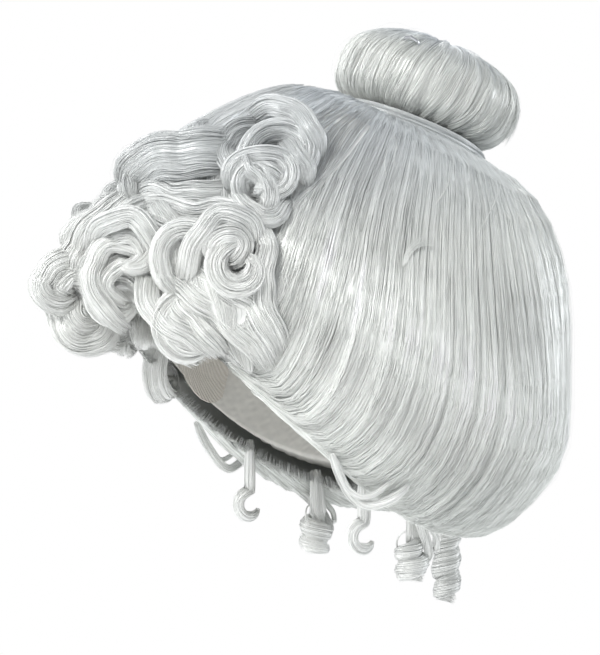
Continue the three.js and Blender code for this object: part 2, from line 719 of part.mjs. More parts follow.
// A ringlet that falls from its root and turns as it falls.
function ringletLine({ root, radius, stem, drop, turns }, side) {
  const steps = Math.round(10 * turns);
  const coil = evenly(0, 1, steps).map((t) => {
    const angle = 2 * Math.PI * turns * t;
    const spread = radius * Math.min(1, 3 * t + 0.3);
    return new THREE.Vector3(
      side * (root[0] + spread * Math.sin(angle)),
      root[1] + spread * Math.cos(angle),
      root[2] - stem - drop * t,
    );
  });
  return new THREE.CatmullRomCurve3([new THREE.Vector3(side * root[0], root[1], root[2]), ...coil]);
}

// A single open loop that hangs beside the neck.
function hookLine({ root, radius, drop, sweep: turn }, side) {
  const loop = evenly(0, 1, 10).map((t) => {
    const angle = degToRad(90 + turn * t);
    const reach = radius * (1 - 0.35 * t);
    return new THREE.Vector3(
      side * root[0],
      root[1] + reach * Math.cos(angle),
      root[2] - drop + reach * Math.sin(angle),
    );
  });
  return new THREE.CatmullRomCurve3([new THREE.Vector3(side * root[0], root[1], root[2]), ...loop]);
}

// The pouf as a ringlet meets it at each angle of its swing, with a gap below it.
function swingRoom({ root, pivot, swing }, side) {
  const [x, y] = [side * root[0], root[1]];
  return evenly(swing[0], swing[1], 6).map((angle) => taken[0]
    .translate(-x, -y, -pivot).rotate(-angle, 0, 0).translate(x, y, pivot - seamGap));
}

function ringlet(line, spec, side, steps) {
  const room = [taken[0], ...swingRoom(spec, side)];
  return geometryOf(cut(solid(bar(line, spec.lock, 7, steps)), room));
}

add("nape_ringlet_back", ringlet(ringletLine(backRinglet, 1), backRinglet, 1, 46), finish.curl);
[["left", 1], ["right", -1]].forEach(([name, side]) => {
  add(`nape_ringlet_${name}`, ringlet(ringletLine(sideRinglet, side), sideRinglet, side, 32), finish.curl);
  add(`ear_ringlet_${name}`, ringlet(hookLine(hookRinglet, side), hookRinglet, side, 18), finish.curl);
});

export default wig;
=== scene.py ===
"""The looks of a swept-up costume wig: fibres, curls, ringlets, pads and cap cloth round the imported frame."""

import json
import math

import bpy
import numpy as np
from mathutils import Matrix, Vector


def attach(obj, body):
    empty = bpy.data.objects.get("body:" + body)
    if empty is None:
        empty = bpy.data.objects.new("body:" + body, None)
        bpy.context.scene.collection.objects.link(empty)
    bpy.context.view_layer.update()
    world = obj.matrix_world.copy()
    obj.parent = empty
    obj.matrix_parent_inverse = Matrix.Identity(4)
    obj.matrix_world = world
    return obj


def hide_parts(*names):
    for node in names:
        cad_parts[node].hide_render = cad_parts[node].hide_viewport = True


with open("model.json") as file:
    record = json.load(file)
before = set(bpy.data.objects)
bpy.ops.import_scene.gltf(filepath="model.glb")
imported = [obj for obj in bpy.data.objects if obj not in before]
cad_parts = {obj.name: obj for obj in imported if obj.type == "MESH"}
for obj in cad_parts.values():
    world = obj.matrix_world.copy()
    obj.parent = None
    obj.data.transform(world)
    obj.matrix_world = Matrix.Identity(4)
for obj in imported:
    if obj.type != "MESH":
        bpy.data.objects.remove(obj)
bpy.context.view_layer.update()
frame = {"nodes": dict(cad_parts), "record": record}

MM = 0.001

# ---------- Sizes shared with the CAD part, in millimetres ----------

# The display head is not part of the wig: these are the sizes that the cap is made to.
HEAD = {"half_width": 76, "half_length": 96, "crown": 96, "depth": 130}
HEAD_CENTRE = np.array([0.0, 0.0, -HEAD["crown"]])
CAP_OUTER = 1.5  # the cap's outside, above the head
CAP_EDGE = (-46, -116, -172)  # height of the cap's edge at the face, the side and the nape
RIM_LIFT = (5, 15, 14)  # the hairline at the same three places: its stand-off from the head and its height
RIM_HEIGHT = (-47, -159, -181)
RINGS = [  # how far each ring stands out at the face, the side and the nape, and its height there
    ((-2, 16, 10), (-41, -167, -190)),
    ((2, 34, 44), (-28, -143, -162)),
    ((-8, 42, 53.5), (-6, -102, -108)),
    ((-40, 30, 50), (25, -46, -50)),
    ((-94, 0, 33), (46, 6, -16)),
]
SECTIONS = {"front": (-48, 48), "left": (48, 132), "back": (132, 228), "right": (228, 312)}
KNOT_CENTRE = np.array([0.0, 75.8, 43.8])
KNOT_TILT = math.radians(-23)
KNOT_RADIUS = 50
KNOT_HALF = 25.5
KNOT_ROUNDNESS, KNOT_UNDER_ROUNDNESS = 2.3, 3.2  # powers of its upper and lower outline
KNOT_FOOT = -KNOT_HALF - 1.2
GATHER_RADIUS = 36  # where the swept hair goes in under the topknot
LEFTWARD = (0.92, -0.38, 0.1)
# Each curl: its place over the pouf (angle, share), out and drop, the way it faces, the radius of its turn
# and of its lock, and its start, sweep, rise and tightening.
FRONT_CURLS = [
    ((-10, 0.20), 32, 20, LEFTWARD, 9.5, 9.0, 60, 270, -12, 0.30),
    ((-17, 0.10), 21, 31, LEFTWARD, 12.0, 9.0, 50, -310, 12, 0.35),
    ((9, 0.15), 16, 20, LEFTWARD, 13.5, 8.0, 20, 310, 6, 0.30),
    ((37, 0.10), 9, 1, LEFTWARD, 14.5, 8.5, 110, 200, 10, 0.05),
    ((-37, 0.10), 14, 6, (-0.7, -0.7, 0), 13.0, 9.0, 90, 280, 8, 0.25),
    ((-7, 0.25), 15, 4, LEFTWARD, 11.5, 12.0, 10, 200, -14, 0.20),
    ((14, 0.28), 13, 0, LEFTWARD, 12.5, 8.0, 120, -230, 8, 0.15),
    ((30, 0.39), 9, 0, LEFTWARD, 13.5, 7.5, 205, -200, 8, 0.00),
    ((42, 0.46), 11, 0, LEFTWARD, 12.5, 7.0, 110, 300, 6, 0.45),
    ((-25, 0.32), 15, 0, (-0.5, -0.8, 0.2), 14.0, 10.0, 40, 280, 10, 0.25),
    ((-43, 0.45), 11, 0, (-0.95, -0.3, 0.1), 14.0, 9.0, 120, -280, 6, 0.30),
    ((8, 0.49), -3, 0, (0.85, -0.35, 0.35), 15.0, 12.5, 10, 230, -10, 0.20),
    ((35, 0.58), 8, 0, LEFTWARD, 15.0, 7.0, 70, -120, 4, 0.00),
    ((37, 0.68), 8, 0, (0.85, -0.3, 0.4), 16.0, 8.0, 175, -225, 4, 0.10),
    ((36, 0.62), 11, 0, (0.88, -0.33, 0.3), 7.5, 5.5, 200, -290, 5, 0.30),
    ((12, 0.66), -3, 3, (0.5, -0.4, 0.8), 13.0, 8.0, 180, 230, 6, 0.20),
    ((-16, 0.50), -2, 2, (-0.3, -0.7, 0.6), 13.0, 8.5, 0, 270, 8, 0.25),
    ((-35, 0.60), 6, 0, (-0.8, -0.3, 0.5), 13.0, 9.0, 60, -270, 6, 0.25),
    ((-12, 0.60), -6, 4, (-0.3, -0.4, 0.9), 10.0, 7.0, 120, 250, 6, 0.20),
]
MIRRORED_LOCKS = {5: 4, 10: 3, 11: 8, 17: 7, 18: 9}  # curls on the right that copy the left's combed locks
# The locks seen on the wearer's left, by the curl they belong to: the points along each and half its width.
COMBED_LOCKS = {
    6: [
        ([(1, -87, -16), (5, -99, -17), (5, -110, -22), (0, -118, -31), (-5, -121, -39), (-9, -123, -47),
          (-14, -120, -53)], 9),
        ([(7, -88, -15), (12, -103, -19), (9, -111, -27), (4, -115, -37), (-2, -115, -46)], 8),
    ],
    1: [
        ([(-12, -119, -45), (-10, -130, -46), (-13, -137, -51), (-15, -140, -58), (-15, -137, -65),
          (-15, -129, -69), (-16, -120, -65)], 6.5),
        ([(-12, -116, -51), (-12, -126, -54), (-14, -131, -60), (-15, -125, -64)], 6),
    ],
    2: [
        ([(-25, -128, -68), (-23, -127, -77), (-20, -124, -85), (-18, -117, -90), (-17, -109, -89),
          (-18, -103, -83), (-23, -103, -76)], 7),
        ([(-21, -122, -66), (-18, -121, -74), (-17, -116, -80), (-18, -108, -81)], 6),
    ],
    3: [
        ([(31, -95, -48), (32, -101, -40), (30, -108, -36), (25, -116, -36), (22, -122, -42),
          (21, -125, -50), (22, -124, -60), (24, -120, -69), (25, -113, -76), (23, -106, -81)], 5.5),
        ([(26, -103, -51), (24, -109, -47), (22, -115, -51), (21, -117, -59), (22, -112, -66),
          (21, -104, -69)], 5),
    ],
    7: [
        ([(14, -123, -39), (24, -123, -29), (32, -119, -24), (38, -111, -22), (43, -105, -25),
          (47, -101, -33), (49, -98, -41), (49, -93, -48)], 5.5),
        ([(19, -116, -40), (26, -114, -33), (31, -109, -31), (36, -104, -36), (37, -100, -44)], 5),
    ],
    8: [
        ([(57, -87, -57), (66, -89, -47), (71, -88, -36), (75, -84, -27), (79, -78, -20), (82, -70, -19),
          (84, -63, -23), (84, -59, -31), (81, -59, -40)], 5.5),
        ([(33, -95, -15), (43, -93, -23), (51, -90, -32), (56, -90, -40), (57, -90, -50)], 7),
    ],
    9: [
        ([(75, -77, -43), (77, -80, -36), (80, -76, -30), (84, -70, -30), (85, -66, -36), (83, -69, -43),
          (79, -74, -44)], 5),
    ],
    12: [
        ([(42, -47, 12), (44, -61, 11), (42, -75, 10), (36, -87, 9), (27, -95, 6), (17, -99, 0),
          (9, -98, -7)], 12.5),
        ([(56, -60, -8), (48, -73, -10), (38, -85, -10), (26, -93, -8), (14, -97, -11)], 6.5),
    ],
    13: [
        ([(20, -101, -20), (30, -95, -15), (42, -86, -17), (52, -78, -19), (62, -69, -17), (69, -63, -18),
          (74, -59, -25)], 5.5),
        ([(69, -64, -10), (76, -60, -17), (81, -55, -21), (82, -47, -20), (81, -40, -13)], 5),
    ],
    14: [
        ([(38, -43, 30), (50, -37, 35), (61, -31, 33), (70, -26, 27), (76, -23, 18), (76, -21, 10)], 6),
        ([(66, -36, 17), (73, -33, 12), (78, -30, 5), (80, -28, -4)], 5),
    ],
    15: [
        ([(65, -63, -8), (64, -65, 1), (64, -60, 7), (69, -51, 11), (74, -42, 9), (78, -37, 2),
          (79, -39, -5), (77, -49, -9), (72, -58, -10)], 5),
        ([(66, -60, -4), (71, -54, 1), (75, -47, 1), (77, -41, -4)], 5),
    ],
    16: [
        ([(39, -37, 26), (39, -48, 24), (42, -57, 19), (46, -61, 12), (54, -60, 5), (61, -55, 0)], 5.5),
    ],
    4: [
        ([(32, -98, -49), (38, -101, -60), (47, -102, -69), (55, -98, -76), (63, -92, -81), (67, -85, -86),
          (69, -77, -92)], 6.5),
        ([(47, -91, -59), (55, -90, -68), (63, -85, -76), (69, -79, -83), (73, -73, -91)], 6.5),
        ([(46, -96, -43), (53, -90, -51), (62, -83, -59), (70, -74, -66), (78, -65, -75), (85, -57, -85),
          (87, -50, -97)], 9.5),
        ([(59, -84, -46), (68, -78, -52), (78, -69, -58), (85, -60, -66), (90, -54, -77), (92, -48, -90)],
          8),
        ([(80, -56, -25), (86, -54, -34), (89, -55, -43), (89, -57, -53), (89, -56, -64), (92, -52, -74)],
          5.5),
    ],
}
# Thin strands and locks: the points along each, how far its strands spread and how many there are.
WISPS = [
    ([(107, 13, -47), (106, 15, -41), (105.5, 19, -36), (105, 25, -32.5), (104.5, 33.5, -31)], 2.2, 26),
    ([(107, 14, -46), (106, 17, -40), (105.3, 22, -36), (105, 29, -35), (105.7, 35, -35.4)], 2, 18),
    ([(86.3, 12.8, -1.2), (82.6, 13.2, 6), (77.5, 17.1, 12), (71.5, 19, 17.5), (65.7, 25, 22.8)], 0.5, 2),
    ([(86.2, 19.7, 0.7), (81.2, 19.6, 7.9), (75.2, 23.9, 14.9), (68.7, 24.9, 20.9), (63, 30.2, 25.7)],
      0.5, 2),
    ([(95.7, 36, -16), (90.7, 45, -7), (82, 53, 3), (62, 70, 12)], 1, 3),
    ([(99.6, 58, -32), (92, 70, -18.6), (80, 81, -7), (62, 87, 2)], 1, 3),
]
EAR_WISPS = [
    ([(95.2, -21.8, -142.3), (95.1, -18.3, -150.4), (93.5, -13.5, -159.3), (93.3, -7.6, -166.9),
      (96.2, -1.3, -170.1), (100.3, 6.2, -167.9), (103.9, 12.8, -163.6), (103.8, 18.7, -158.4)], 2.4, 90),
    ([(94, -16.6, -154.3), (94.7, -11.1, -161.9), (97.4, -5.3, -165.1), (100.2, 1.6, -163),
      (102.4, 7.7, -157.7)], 1.4, 40),
]
NAPE_LOCKS = [  # on the left: the falling lock, the small one behind it and the strand that turns in a ring
    ([(93, 24.4, -170.5), (83.7, 31.8, -178.8), (74.4, 39.3, -187.1), (68.6, 44.6, -195.1),
      (65.8, 47, -202.4), (63.6, 46.2, -206.2)], 2.6, 100),
    ([(75, 41.4, -182.9), (71.1, 46.5, -188.6), (68.8, 50.4, -193.7), (67, 50.6, -198.6),
      (65.1, 48.5, -198.7)], 1.6, 50),
    ([(66.4, 38.5, -188.6), (63.5, 32.4, -189.6), (60.3, 30.8, -195.9), (60, 35.1, -201.7),
      (62.7, 41.2, -201.4), (65.9, 43.5, -195.3), (66.6, 39.7, -189.2), (65.7, 36.4, -188.2)], 0.5, 9),
]
# Each ringlet: where it hangs from, the radius of its coil, the lengths of its stem and coil, and its lock.
BACK_RINGLET = {
    "root": (-6, 91, -181), "radius": 5.0, "stem": 6, "drop": 51, "turns": 4,
    "width": 6.0, "thick": 3.3, "strands": 330, "tip": 0.45,
}
SIDE_RINGLET = {
    "root": (64, 38, -173), "radius": 6.2, "stem": 23, "drop": 18, "turns": 2,
    "width": 4.8, "thick": 3.1, "strands": 280, "tip": 0.5,
}
HOOK_RINGLET = {
    "root": (78, 4, -156), "radius": 8.0, "drop": 33, "sweep": 250,
    "width": 4.2, "thick": 2.9, "strands": 240, "tip": 0.3,
}
ROOT_TUCK = np.array([0, 0, 4.0])  # how far a ringlet's stem goes up under the hairline

# ---------- Looks ----------

PALEST = 0.97  # no tint goes above this
LEAN = 0.38  # how far locks lean towards the nape, in radians, at the side
FIBRE_HALF = 0.17  # half width of a drawn fibre, which stands for a few real ones
WISP_HALF = 0.11
# painted shade: how much darker the dense hair under the fibres is drawn
SKIN_PAINTED_SHADE = 0.9
SKIN_INSET = 1.1  # how far the dense hair under the fibres lies below them
WHITE = np.array([0.80, 0.815, 0.785])
# painted shade: the crown's greyer, bluer tint and the darker tint low at the nape
CROWN_PAINTED_SHADE = np.array([0.74, 0.775, 0.80])
NAPE_PAINTED_SHADE = np.array([0.72, 0.74, 0.71])
CURL_TINT = np.array([0.90, 0.91, 0.885])
# painted shade: the curls' greyer tint up towards the crown
TOP_CURL_PAINTED_SHADE = np.array([0.73, 0.75, 0.75])
CREPE_TINT = np.array([0.66, 0.65, 0.61])

# ---------- Camera, light and floor ----------

VIEW_AZIMUTH, VIEW_ELEVATION = math.radians(67), math.radians(4)
VIEW_DISTANCE = 2.0
PIXELS_PER_METRE = 1870  # at the object, in a picture 600 wide and 655 high
PICTURE_HEIGHT = 655
SENSOR = 36
VIEW_CENTRE_RIGHT, VIEW_CENTRE_UP = 0.0011, -0.0842
FLOOR_HEIGHT, FLOOR_RADIUS = -1.3, 3.0
WIG_MIDDLE = Vector((0, 0, -0.08))
LIGHTS = [  # name, azimuth and elevation round the wig, distance, size, power, colour
    ("key", 42, 34, 1.5, 0.55, 12, (1.0, 0.995, 0.98)),
    ("front", -12, 18, 1.6, 0.9, 15, (1.0, 1.0, 1.0)),
    ("low", 60, -32, 1.6, 1.0, 6, (1.0, 1.0, 0.985)),
    ("rim", 168, 8, 1.5, 0.7, 10, (0.95, 0.975, 1.0)),
    ("far", -110, 25, 1.6, 0.9, 8, (1.0, 1.0, 1.0)),
]
AMBIENT = {"Color": (0.92, 0.955, 1.0, 1), "Strength": 0.5}
BACKDROP = {"Color": (1, 1, 1, 1), "Strength": 1.0}
FLOOR_FINISH = {
    "Base Color": (0.85, 0.85, 0.85, 1),
    "Roughness": 0.9,
    "Emission Color": (1, 1, 1, 1),
    "Emission Strength": 0.45,
}


def set_inputs(node, values):
    for name, value in values.items():
        node.inputs[name].default_value = value


def add_node(tree, kind, inputs=None, **settings):
    """A new shader node with its settings and the values of its sockets."""
    node = tree.nodes.new("ShaderNode" + kind)
    for name, value in settings.items():
        setattr(node, name, value)
    set_inputs(node, inputs or {})
    return node


def join(tree, *pairs):
    for output, socket in pairs:
        tree.links.new(output, socket)


def direction(azimuth, elevation):
    """The way out from the wig, with azimuth 0 at the face and 90 degrees on the wearer's left."""
    flat = math.cos(elevation)
    return Vector((math.sin(azimuth) * flat, -math.cos(azimuth) * flat, math.sin(elevation)))


def camera():
    back = direction(VIEW_AZIMUTH, VIEW_ELEVATION)
    right = Vector((math.cos(VIEW_AZIMUTH), math.sin(VIEW_AZIMUTH), 0))
    up = back.cross(right)
    lens = bpy.data.cameras.new("camera")
    lens.sensor_width = SENSOR
    lens.lens = SENSOR * PIXELS_PER_METRE * VIEW_DISTANCE / PICTURE_HEIGHT
    lens.clip_start, lens.clip_end = 0.05, 50
    eye = bpy.data.objects.new("camera", lens)
    eye.location = right * VIEW_CENTRE_RIGHT + up * VIEW_CENTRE_UP + back * VIEW_DISTANCE
    eye.rotation_mode = "QUATERNION"
    eye.rotation_quaternion = back.to_track_quat("Z", "Y")
    scene = bpy.context.scene
    scene.collection.objects.link(eye)
    scene.camera = eye
    scene.view_settings.view_transform = "Standard"
    scene.view_settings.look = "None"


def studio_light():
    """Soft round lamps, with a white backdrop that only the camera sees."""
    for name, azimuth, elevation, distance, size, power, colour in LIGHTS:
        lamp = bpy.data.lights.new(name, "AREA")
        lamp.shape, lamp.size, lamp.energy, lamp.color = "DISK", size, power, colour
        light = bpy.data.objects.new(name, lamp)
        bpy.context.scene.collection.objects.link(light)
        way = direction(math.radians(azimuth), math.radians(elevation))
        light.location = way * distance + WIG_MIDDLE
        light.rotation_euler = way.to_track_quat("Z", "Y").to_euler()

    world = bpy.data.worlds.new("studio")
    bpy.context.scene.world = world
    world.use_nodes = True
    tree = world.node_tree
    ambient = tree.nodes["Background"]
    set_inputs(ambient, AMBIENT)
    seen = add_node(tree, "Background", BACKDROP)
    path, mix = add_node(tree, "LightPath"), add_node(tree, "MixShader")
    join(
        tree,
        (path.outputs["Is Camera Ray"], mix.inputs[0]),
        (ambient.outputs[0], mix.inputs[1]),
        (seen.outputs[0], mix.inputs[2]),
        (mix.outputs[0], tree.nodes["World Output"].inputs["Surface"]),
    )


def floor():
    """A plain pale floor well below the wig, soft at its edge."""
    bpy.ops.mesh.primitive_circle_add(
        vertices=96, radius=FLOOR_RADIUS, fill_type="NGON", location=(0, 0, FLOOR_HEIGHT)
    )
    disc = bpy.context.object
    disc.name = "floor"
    material = bpy.data.materials.new("floor")
    material.use_nodes = True
    tree = material.node_tree
    shader = tree.nodes["Principled BSDF"]
    set_inputs(shader, FLOOR_FINISH)
    position = add_node(tree, "TexCoord")
    scale = add_node(tree, "Mapping", {"Scale": (1 / FLOOR_RADIUS,) * 3})
    fade = add_node(tree, "TexGradient", gradient_type="SPHERICAL")
    ramp = add_node(tree, "ValToRGB")
    ramp.color_ramp.elements[1].position = 0.5
    clear, mix = add_node(tree, "BsdfTransparent"), add_node(tree, "MixShader")
    join(
        tree,
        (position.outputs["Object"], scale.inputs["Vector"]),
        (scale.outputs["Vector"], fade.inputs["Vector"]),
        (fade.outputs["Fac"], ramp.inputs["Fac"]),
        (ramp.outputs["Color"], mix.inputs[0]),
        (clear.outputs[0], mix.inputs[1]),
        (shader.outputs[0], mix.inputs[2]),
        (mix.outputs[0], tree.nodes["Material Output"].inputs["Surface"]),
    )
    disc.data.materials.append(material)


# ---------- Curves and surfaces of the hairdo ----------


def around(phi, levels):
    """A value that runs smoothly from the face (phi 0) round the side to the nape."""
    front, side, back = levels
    mean = (front + 2 * side + back) / 4
    return mean + (front - back) / 2 * np.cos(phi) + (front + back - 2 * side) / 4 * np.cos(2 * phi)


def head_point(phi, height, lift):
    rise = height - HEAD_CENTRE[2]
    reach = np.where(rise > 0, HEAD["crown"], HEAD["depth"]) + lift
    share = np.sqrt(np.maximum(0, 1 - (rise / reach) ** 2))
    x = (HEAD["half_width"] + lift) * share * np.sin(phi)
    y = -(HEAD["half_length"] + lift) * share * np.cos(phi)
    return np.stack(np.broadcast_arrays(x, y, height), -1)


def head_under(point, lift):
    """The point of the lifted head on the line from its centre to another point."""
    ray = point - HEAD_CENTRE
    reach = np.where(ray[..., 2] > 0, HEAD["crown"], HEAD["depth"]) + lift
    wide, long = HEAD["half_width"] + lift, HEAD["half_length"] + lift
    share = np.sqrt((ray[..., 0] / wide) ** 2 + (ray[..., 1] / long) ** 2 + (ray[..., 2] / reach) ** 2)
    return ray / share[..., None] + HEAD_CENTRE


def knot_to_world(local):
    c, s = math.cos(KNOT_TILT), math.sin(KNOT_TILT)
    turn = np.array([[1, 0, 0], [0, c, -s], [0, s, c]])
    return local @ turn.T + KNOT_CENTRE


def knot_ring(radius, angle, height):
    """Points at a radius, angle and height on the topknot's own axis, in the wig's frame."""
    local = np.broadcast_arrays(radius * np.sin(angle), -radius * np.cos(angle), height)
    return knot_to_world(np.stack(local, -1))


def spline(points, t):
    """Centripetal Catmull-Rom curves through points[..., k, :] at t from 0 to 1."""
    count = points.shape[-2]
    before = 2 * points[..., :1, :] - points[..., 1:2, :]
    after = 2 * points[..., -1:, :] - points[..., -2:-1, :]
    ends = np.concatenate([before, points, after], -2)
    place = np.clip(t, 0, 1) * (count - 1)
    k = np.minimum(place.astype(int), count - 2)
    w = (place - k)[..., None]
    x0, x1, x2, x3 = (np.take_along_axis(ends, (k + j)[..., None, None], -2)[..., 0, :] for j in range(4))
    d0, d1, d2 = (
        np.maximum(np.linalg.norm(b - a, axis=-1, keepdims=True), 1e-6) ** 0.5
        for a, b in ((x0, x1), (x1, x2), (x2, x3))
    )
    m1 = ((x1 - x0) / d0 - (x2 - x0) / (d0 + d1) + (x2 - x1) / d1) * d1
    m2 = ((x2 - x1) / d1 - (x3 - x1) / (d1 + d2) + (x3 - x2) / d2) * d1
    c2 = 3 * (x2 - x1) - 2 * m1 - m2
    c3 = 2 * (x1 - x2) + m1 + m2
    return x1 + w * (m1 + w * (c2 + w * c3))


def smooth_line(points, count):
    """A smooth line of count points through a few points."""
    return spline(np.broadcast_to(points, (count, len(points), 3)).astype(float), np.linspace(0, 1, count))


def resampled(paths, place):
    """The paths[n, m] read at fractional steps place[n, m] along each."""
    k = np.minimum(place.astype(int), paths.shape[1] - 2)[..., None]
    share = place[..., None] - k
    return np.take_along_axis(paths, k, 1) * (1 - share) + np.take_along_axis(paths, k + 1, 1) * share


def pouf(phi, t):
    """The outside of the pouf. t is 0 at the hairline and 1 under the topknot."""
    rows = [head_point(phi, around(phi, RIM_HEIGHT), around(phi, RIM_LIFT))]
    for out, height in RINGS:
        front, side, back = out
        middle = (back - front) / 2
        reach = HEAD["half_length"] + (back + front) / 2
        x = (HEAD["half_width"] + side) * np.sin(phi)
        rows.append(np.stack([x, middle - reach * np.cos(phi), around(phi, height)], -1))
    rows.append(knot_ring(GATHER_RADIUS, phi, KNOT_FOOT))
    return spline(np.stack(rows, -2), t)


TUCK = 0.10  # the stretch of a lock's way, below 0, that comes out from under the hairline
TUCK_SAG = np.array([0, 0, -2.2])


def swept(phi, s):
    """The pouf with the stretch below the hairline where the hair leaves the cap."""
    top = pouf(phi, np.maximum(s, 0))
    root = head_under(top, CAP_OUTER + 1.0)
    back = np.clip(-s / TUCK, 0, 1)[..., None]
    return top + (root - top) * back + np.sin(np.pi * back) * TUCK_SAG


def unit(v):
    return v / np.maximum(np.linalg.norm(v, axis=-1, keepdims=True), 1e-9)


def pouf_normal(phi, s):
    step = 0.004
    along = swept(phi, np.minimum(s + step, 1)) - swept(phi, np.minimum(s + step, 1) - 2 * step)
    across = swept(phi + step, s) - swept(phi - step, s)
    normal = unit(np.cross(across, along))
    outward = swept(phi, s) - HEAD_CENTRE
    return normal * np.where((normal * outward).sum(-1, keepdims=True) < 0, -1, 1)


class Waves:
    """A smooth random field of two variables, made of a few sine waves."""

    def __init__(self, seed, count, across, along):
        rng = np.random.default_rng(seed)
        self.f = rng.uniform(*across, count) * rng.choice([-1, 1], count)
        self.g = rng.uniform(*along, count) * rng.choice([-1, 1], count)
        self.p = rng.uniform(0, 2 * np.pi, count)

    def __call__(self, a, b):
        total = sum(np.sin(f * a + g * b + p) for f, g, p in zip(self.f, self.g, self.p))
        return total / math.sqrt(len(self.p) / 2)


# ---------- Meshes ----------


SKIN_UV_WEIGHT = 60  # a skin takes as much of the UV square as this many fibres


def fibres(paths, outward, half, tint, flat=0.6):
    """Closed three-sided fibres along paths[n, m], with a ridge outwards. half[n, m] is half their width."""
    n, m, _ = paths.shape
    tangent = unit(np.gradient(paths, axis=1))
    side = unit(np.cross(tangent, outward))
    ridge = np.cross(side, tangent)
    h = half[..., None]
    foot = paths - ridge * h * 0.4
    corners = np.stack([paths + ridge * h * flat, foot + side * h, foot - side * h], 2)
    base = (np.arange(n)[:, None] * m + np.arange(m - 1)) * 3
    quads = np.stack([
        np.stack([base + k, base + (k + 1) % 3, base + (k + 1) % 3 + 3, base + k + 3], -1) for k in range(3)
    ], 2)
    u0 = (np.arange(n)[:, None, None] + np.arange(3)[None, None, :] / 3) / n
    u0, v0 = np.broadcast_arrays(u0, (np.arange(m - 1) / (m - 1))[None, :, None])
    du, dv = 1 / (3 * n), 1 / (m - 1)
    uv = np.stack([
        np.stack([u0, v0], -1), np.stack([u0 + du, v0], -1),
        np.stack([u0 + du, v0 + dv], -1), np.stack([u0, v0 + dv], -1),
    ], -2)
    first = np.arange(n) * m * 3
    last = first + (m - 1) * 3
    caps = [np.stack([first + 2, first + 1, first], -1), np.stack([last, last + 1, last + 2], -1)]
    return {
        "verts": corners.reshape(-1, 3),
        "quads": quads.reshape(-1, 4),
        "quad_uv": uv.reshape(-1, 4, 2),
        "tris": np.concatenate(caps),
        "tint": np.repeat(np.broadcast_to(tint, paths.shape).reshape(-1, 3), 3, 0),
        "weight": n,  # its share of the UV square
    }


def grid_solid(outer, inner, tint, closed=False):
    """A closed solid between two grids of points [rows, columns], facing out."""
    r, c, _ = outer.shape
    verts = np.concatenate([outer.reshape(-1, 3), inner.reshape(-1, 3)])
    shift = r * c
    last = r if closed else r - 1
    i, j = np.meshgrid(np.arange(last), np.arange(c - 1), indexing="ij")
    a, b = i * c + j, ((i + 1) % r) * c + j
    top = np.stack([a, b, b + 1, a + 1], -1).reshape(-1, 4)
    bottom = np.stack([a + 1, b + 1, b, a], -1).reshape(-1, 4) + shift
    k = np.arange(last)
    p, q = k * c, ((k + 1) % r) * c
    edge_low = np.stack([p, p + shift, q + shift, q], -1)
    e = c - 1
    edge_high = np.stack([q + e, q + e + shift, p + e + shift, p + e], -1)
    quads = [top, bottom, edge_low, edge_high]
    if not closed:
        w = np.arange(c - 1)
        quads.append(np.stack([w + 1, w + 1 + shift, w + shift, w], -1))
        z = (r - 1) * c
        quads.append(np.stack([z + w, z + w + shift, z + w + 1 + shift, z + w + 1], -1))
    quads = np.concatenate(quads)
    corner = verts[quads]
    volume = np.einsum("ij,ij->i", corner[:, 0], np.cross(corner[:, 1], corner[:, 2])).sum()
    volume += np.einsum("ij,ij->i", corner[:, 0], np.cross(corner[:, 2], corner[:, 3])).sum()
    if volume < 0:
        quads = quads[:, ::-1]
    flat_uv = np.stack(np.meshgrid(np.linspace(0, 1, r), np.linspace(0, 0.49, c), indexing="ij"), -1)
    flat_uv = flat_uv.reshape(-1, 2)
    all_uv = np.concatenate([flat_uv, flat_uv + [0, 0.5]])
    tints = np.broadcast_to(tint, outer.shape).reshape(-1, 3)
    return {
        "verts": verts,
        "quads": quads,
        "quad_uv": all_uv[quads],
        "tris": np.zeros((0, 3), int),
        "tint": np.concatenate([tints, tints]),
        "weight": SKIN_UV_WEIGHT,
    }


def piece(name, parts, material, body, replaces=()):
    """One object made of several closed parts, in place, riding on a body."""
    verts = np.concatenate([p["verts"] for p in parts]) * MM
    offsets = np.cumsum([0] + [len(p["verts"]) for p in parts[:-1]])
    quads = np.concatenate([p["quads"] + o for p, o in zip(parts, offsets)])
    tris = np.concatenate([p["tris"] + o for p, o in zip(parts, offsets)])
    weights = np.array([p["weight"] for p in parts], float)
    starts = np.concatenate([[0], np.cumsum(weights)[:-1]]) / weights.sum()
    spans = weights / weights.sum() * 0.995
    quad_uv = np.concatenate([p["quad_uv"] * [w, 1] + [s, 0] for p, s, w in zip(parts, starts, spans)])
    tri_uv = np.zeros((len(tris), 3, 2))
    tint = np.concatenate([p["tint"] for p in parts])

    mesh = bpy.data.meshes.new(name)
    mesh.vertices.add(len(verts))
    mesh.vertices.foreach_set("co", verts.astype(np.float32).ravel())
    loops = np.concatenate([quads.ravel(), tris.ravel()])
    mesh.loops.add(len(loops))
    mesh.loops.foreach_set("vertex_index", loops.astype(np.int32))
    mesh.polygons.add(len(quads) + len(tris))
    starts = np.concatenate([np.arange(len(quads)) * 4, len(quads) * 4 + np.arange(len(tris)) * 3])
    mesh.polygons.foreach_set("loop_start", starts.astype(np.int32))
    mesh.update(calc_edges=True)
    mesh.polygons.foreach_set("use_smooth", np.ones(len(mesh.polygons), bool))
    uv = mesh.uv_layers.new(name="OFBake")
    uv.data.foreach_set("uv", np.concatenate([quad_uv.ravel(), tri_uv.ravel()]).astype(np.float32))
    colour = mesh.color_attributes.new("tint", "FLOAT_COLOR", "POINT")
    rgba = np.concatenate([tint, np.ones((len(tint), 1))], 1)
    colour.data.foreach_set("color", rgba.astype(np.float32).ravel())
    obj = bpy.data.objects.new(name, mesh)
    bpy.context.scene.collection.objects.link(obj)
    mesh.materials.append(material)
    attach(obj, body)
    if replaces:
        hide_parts(*replaces)
    return obj


# ---------- Materials ----------


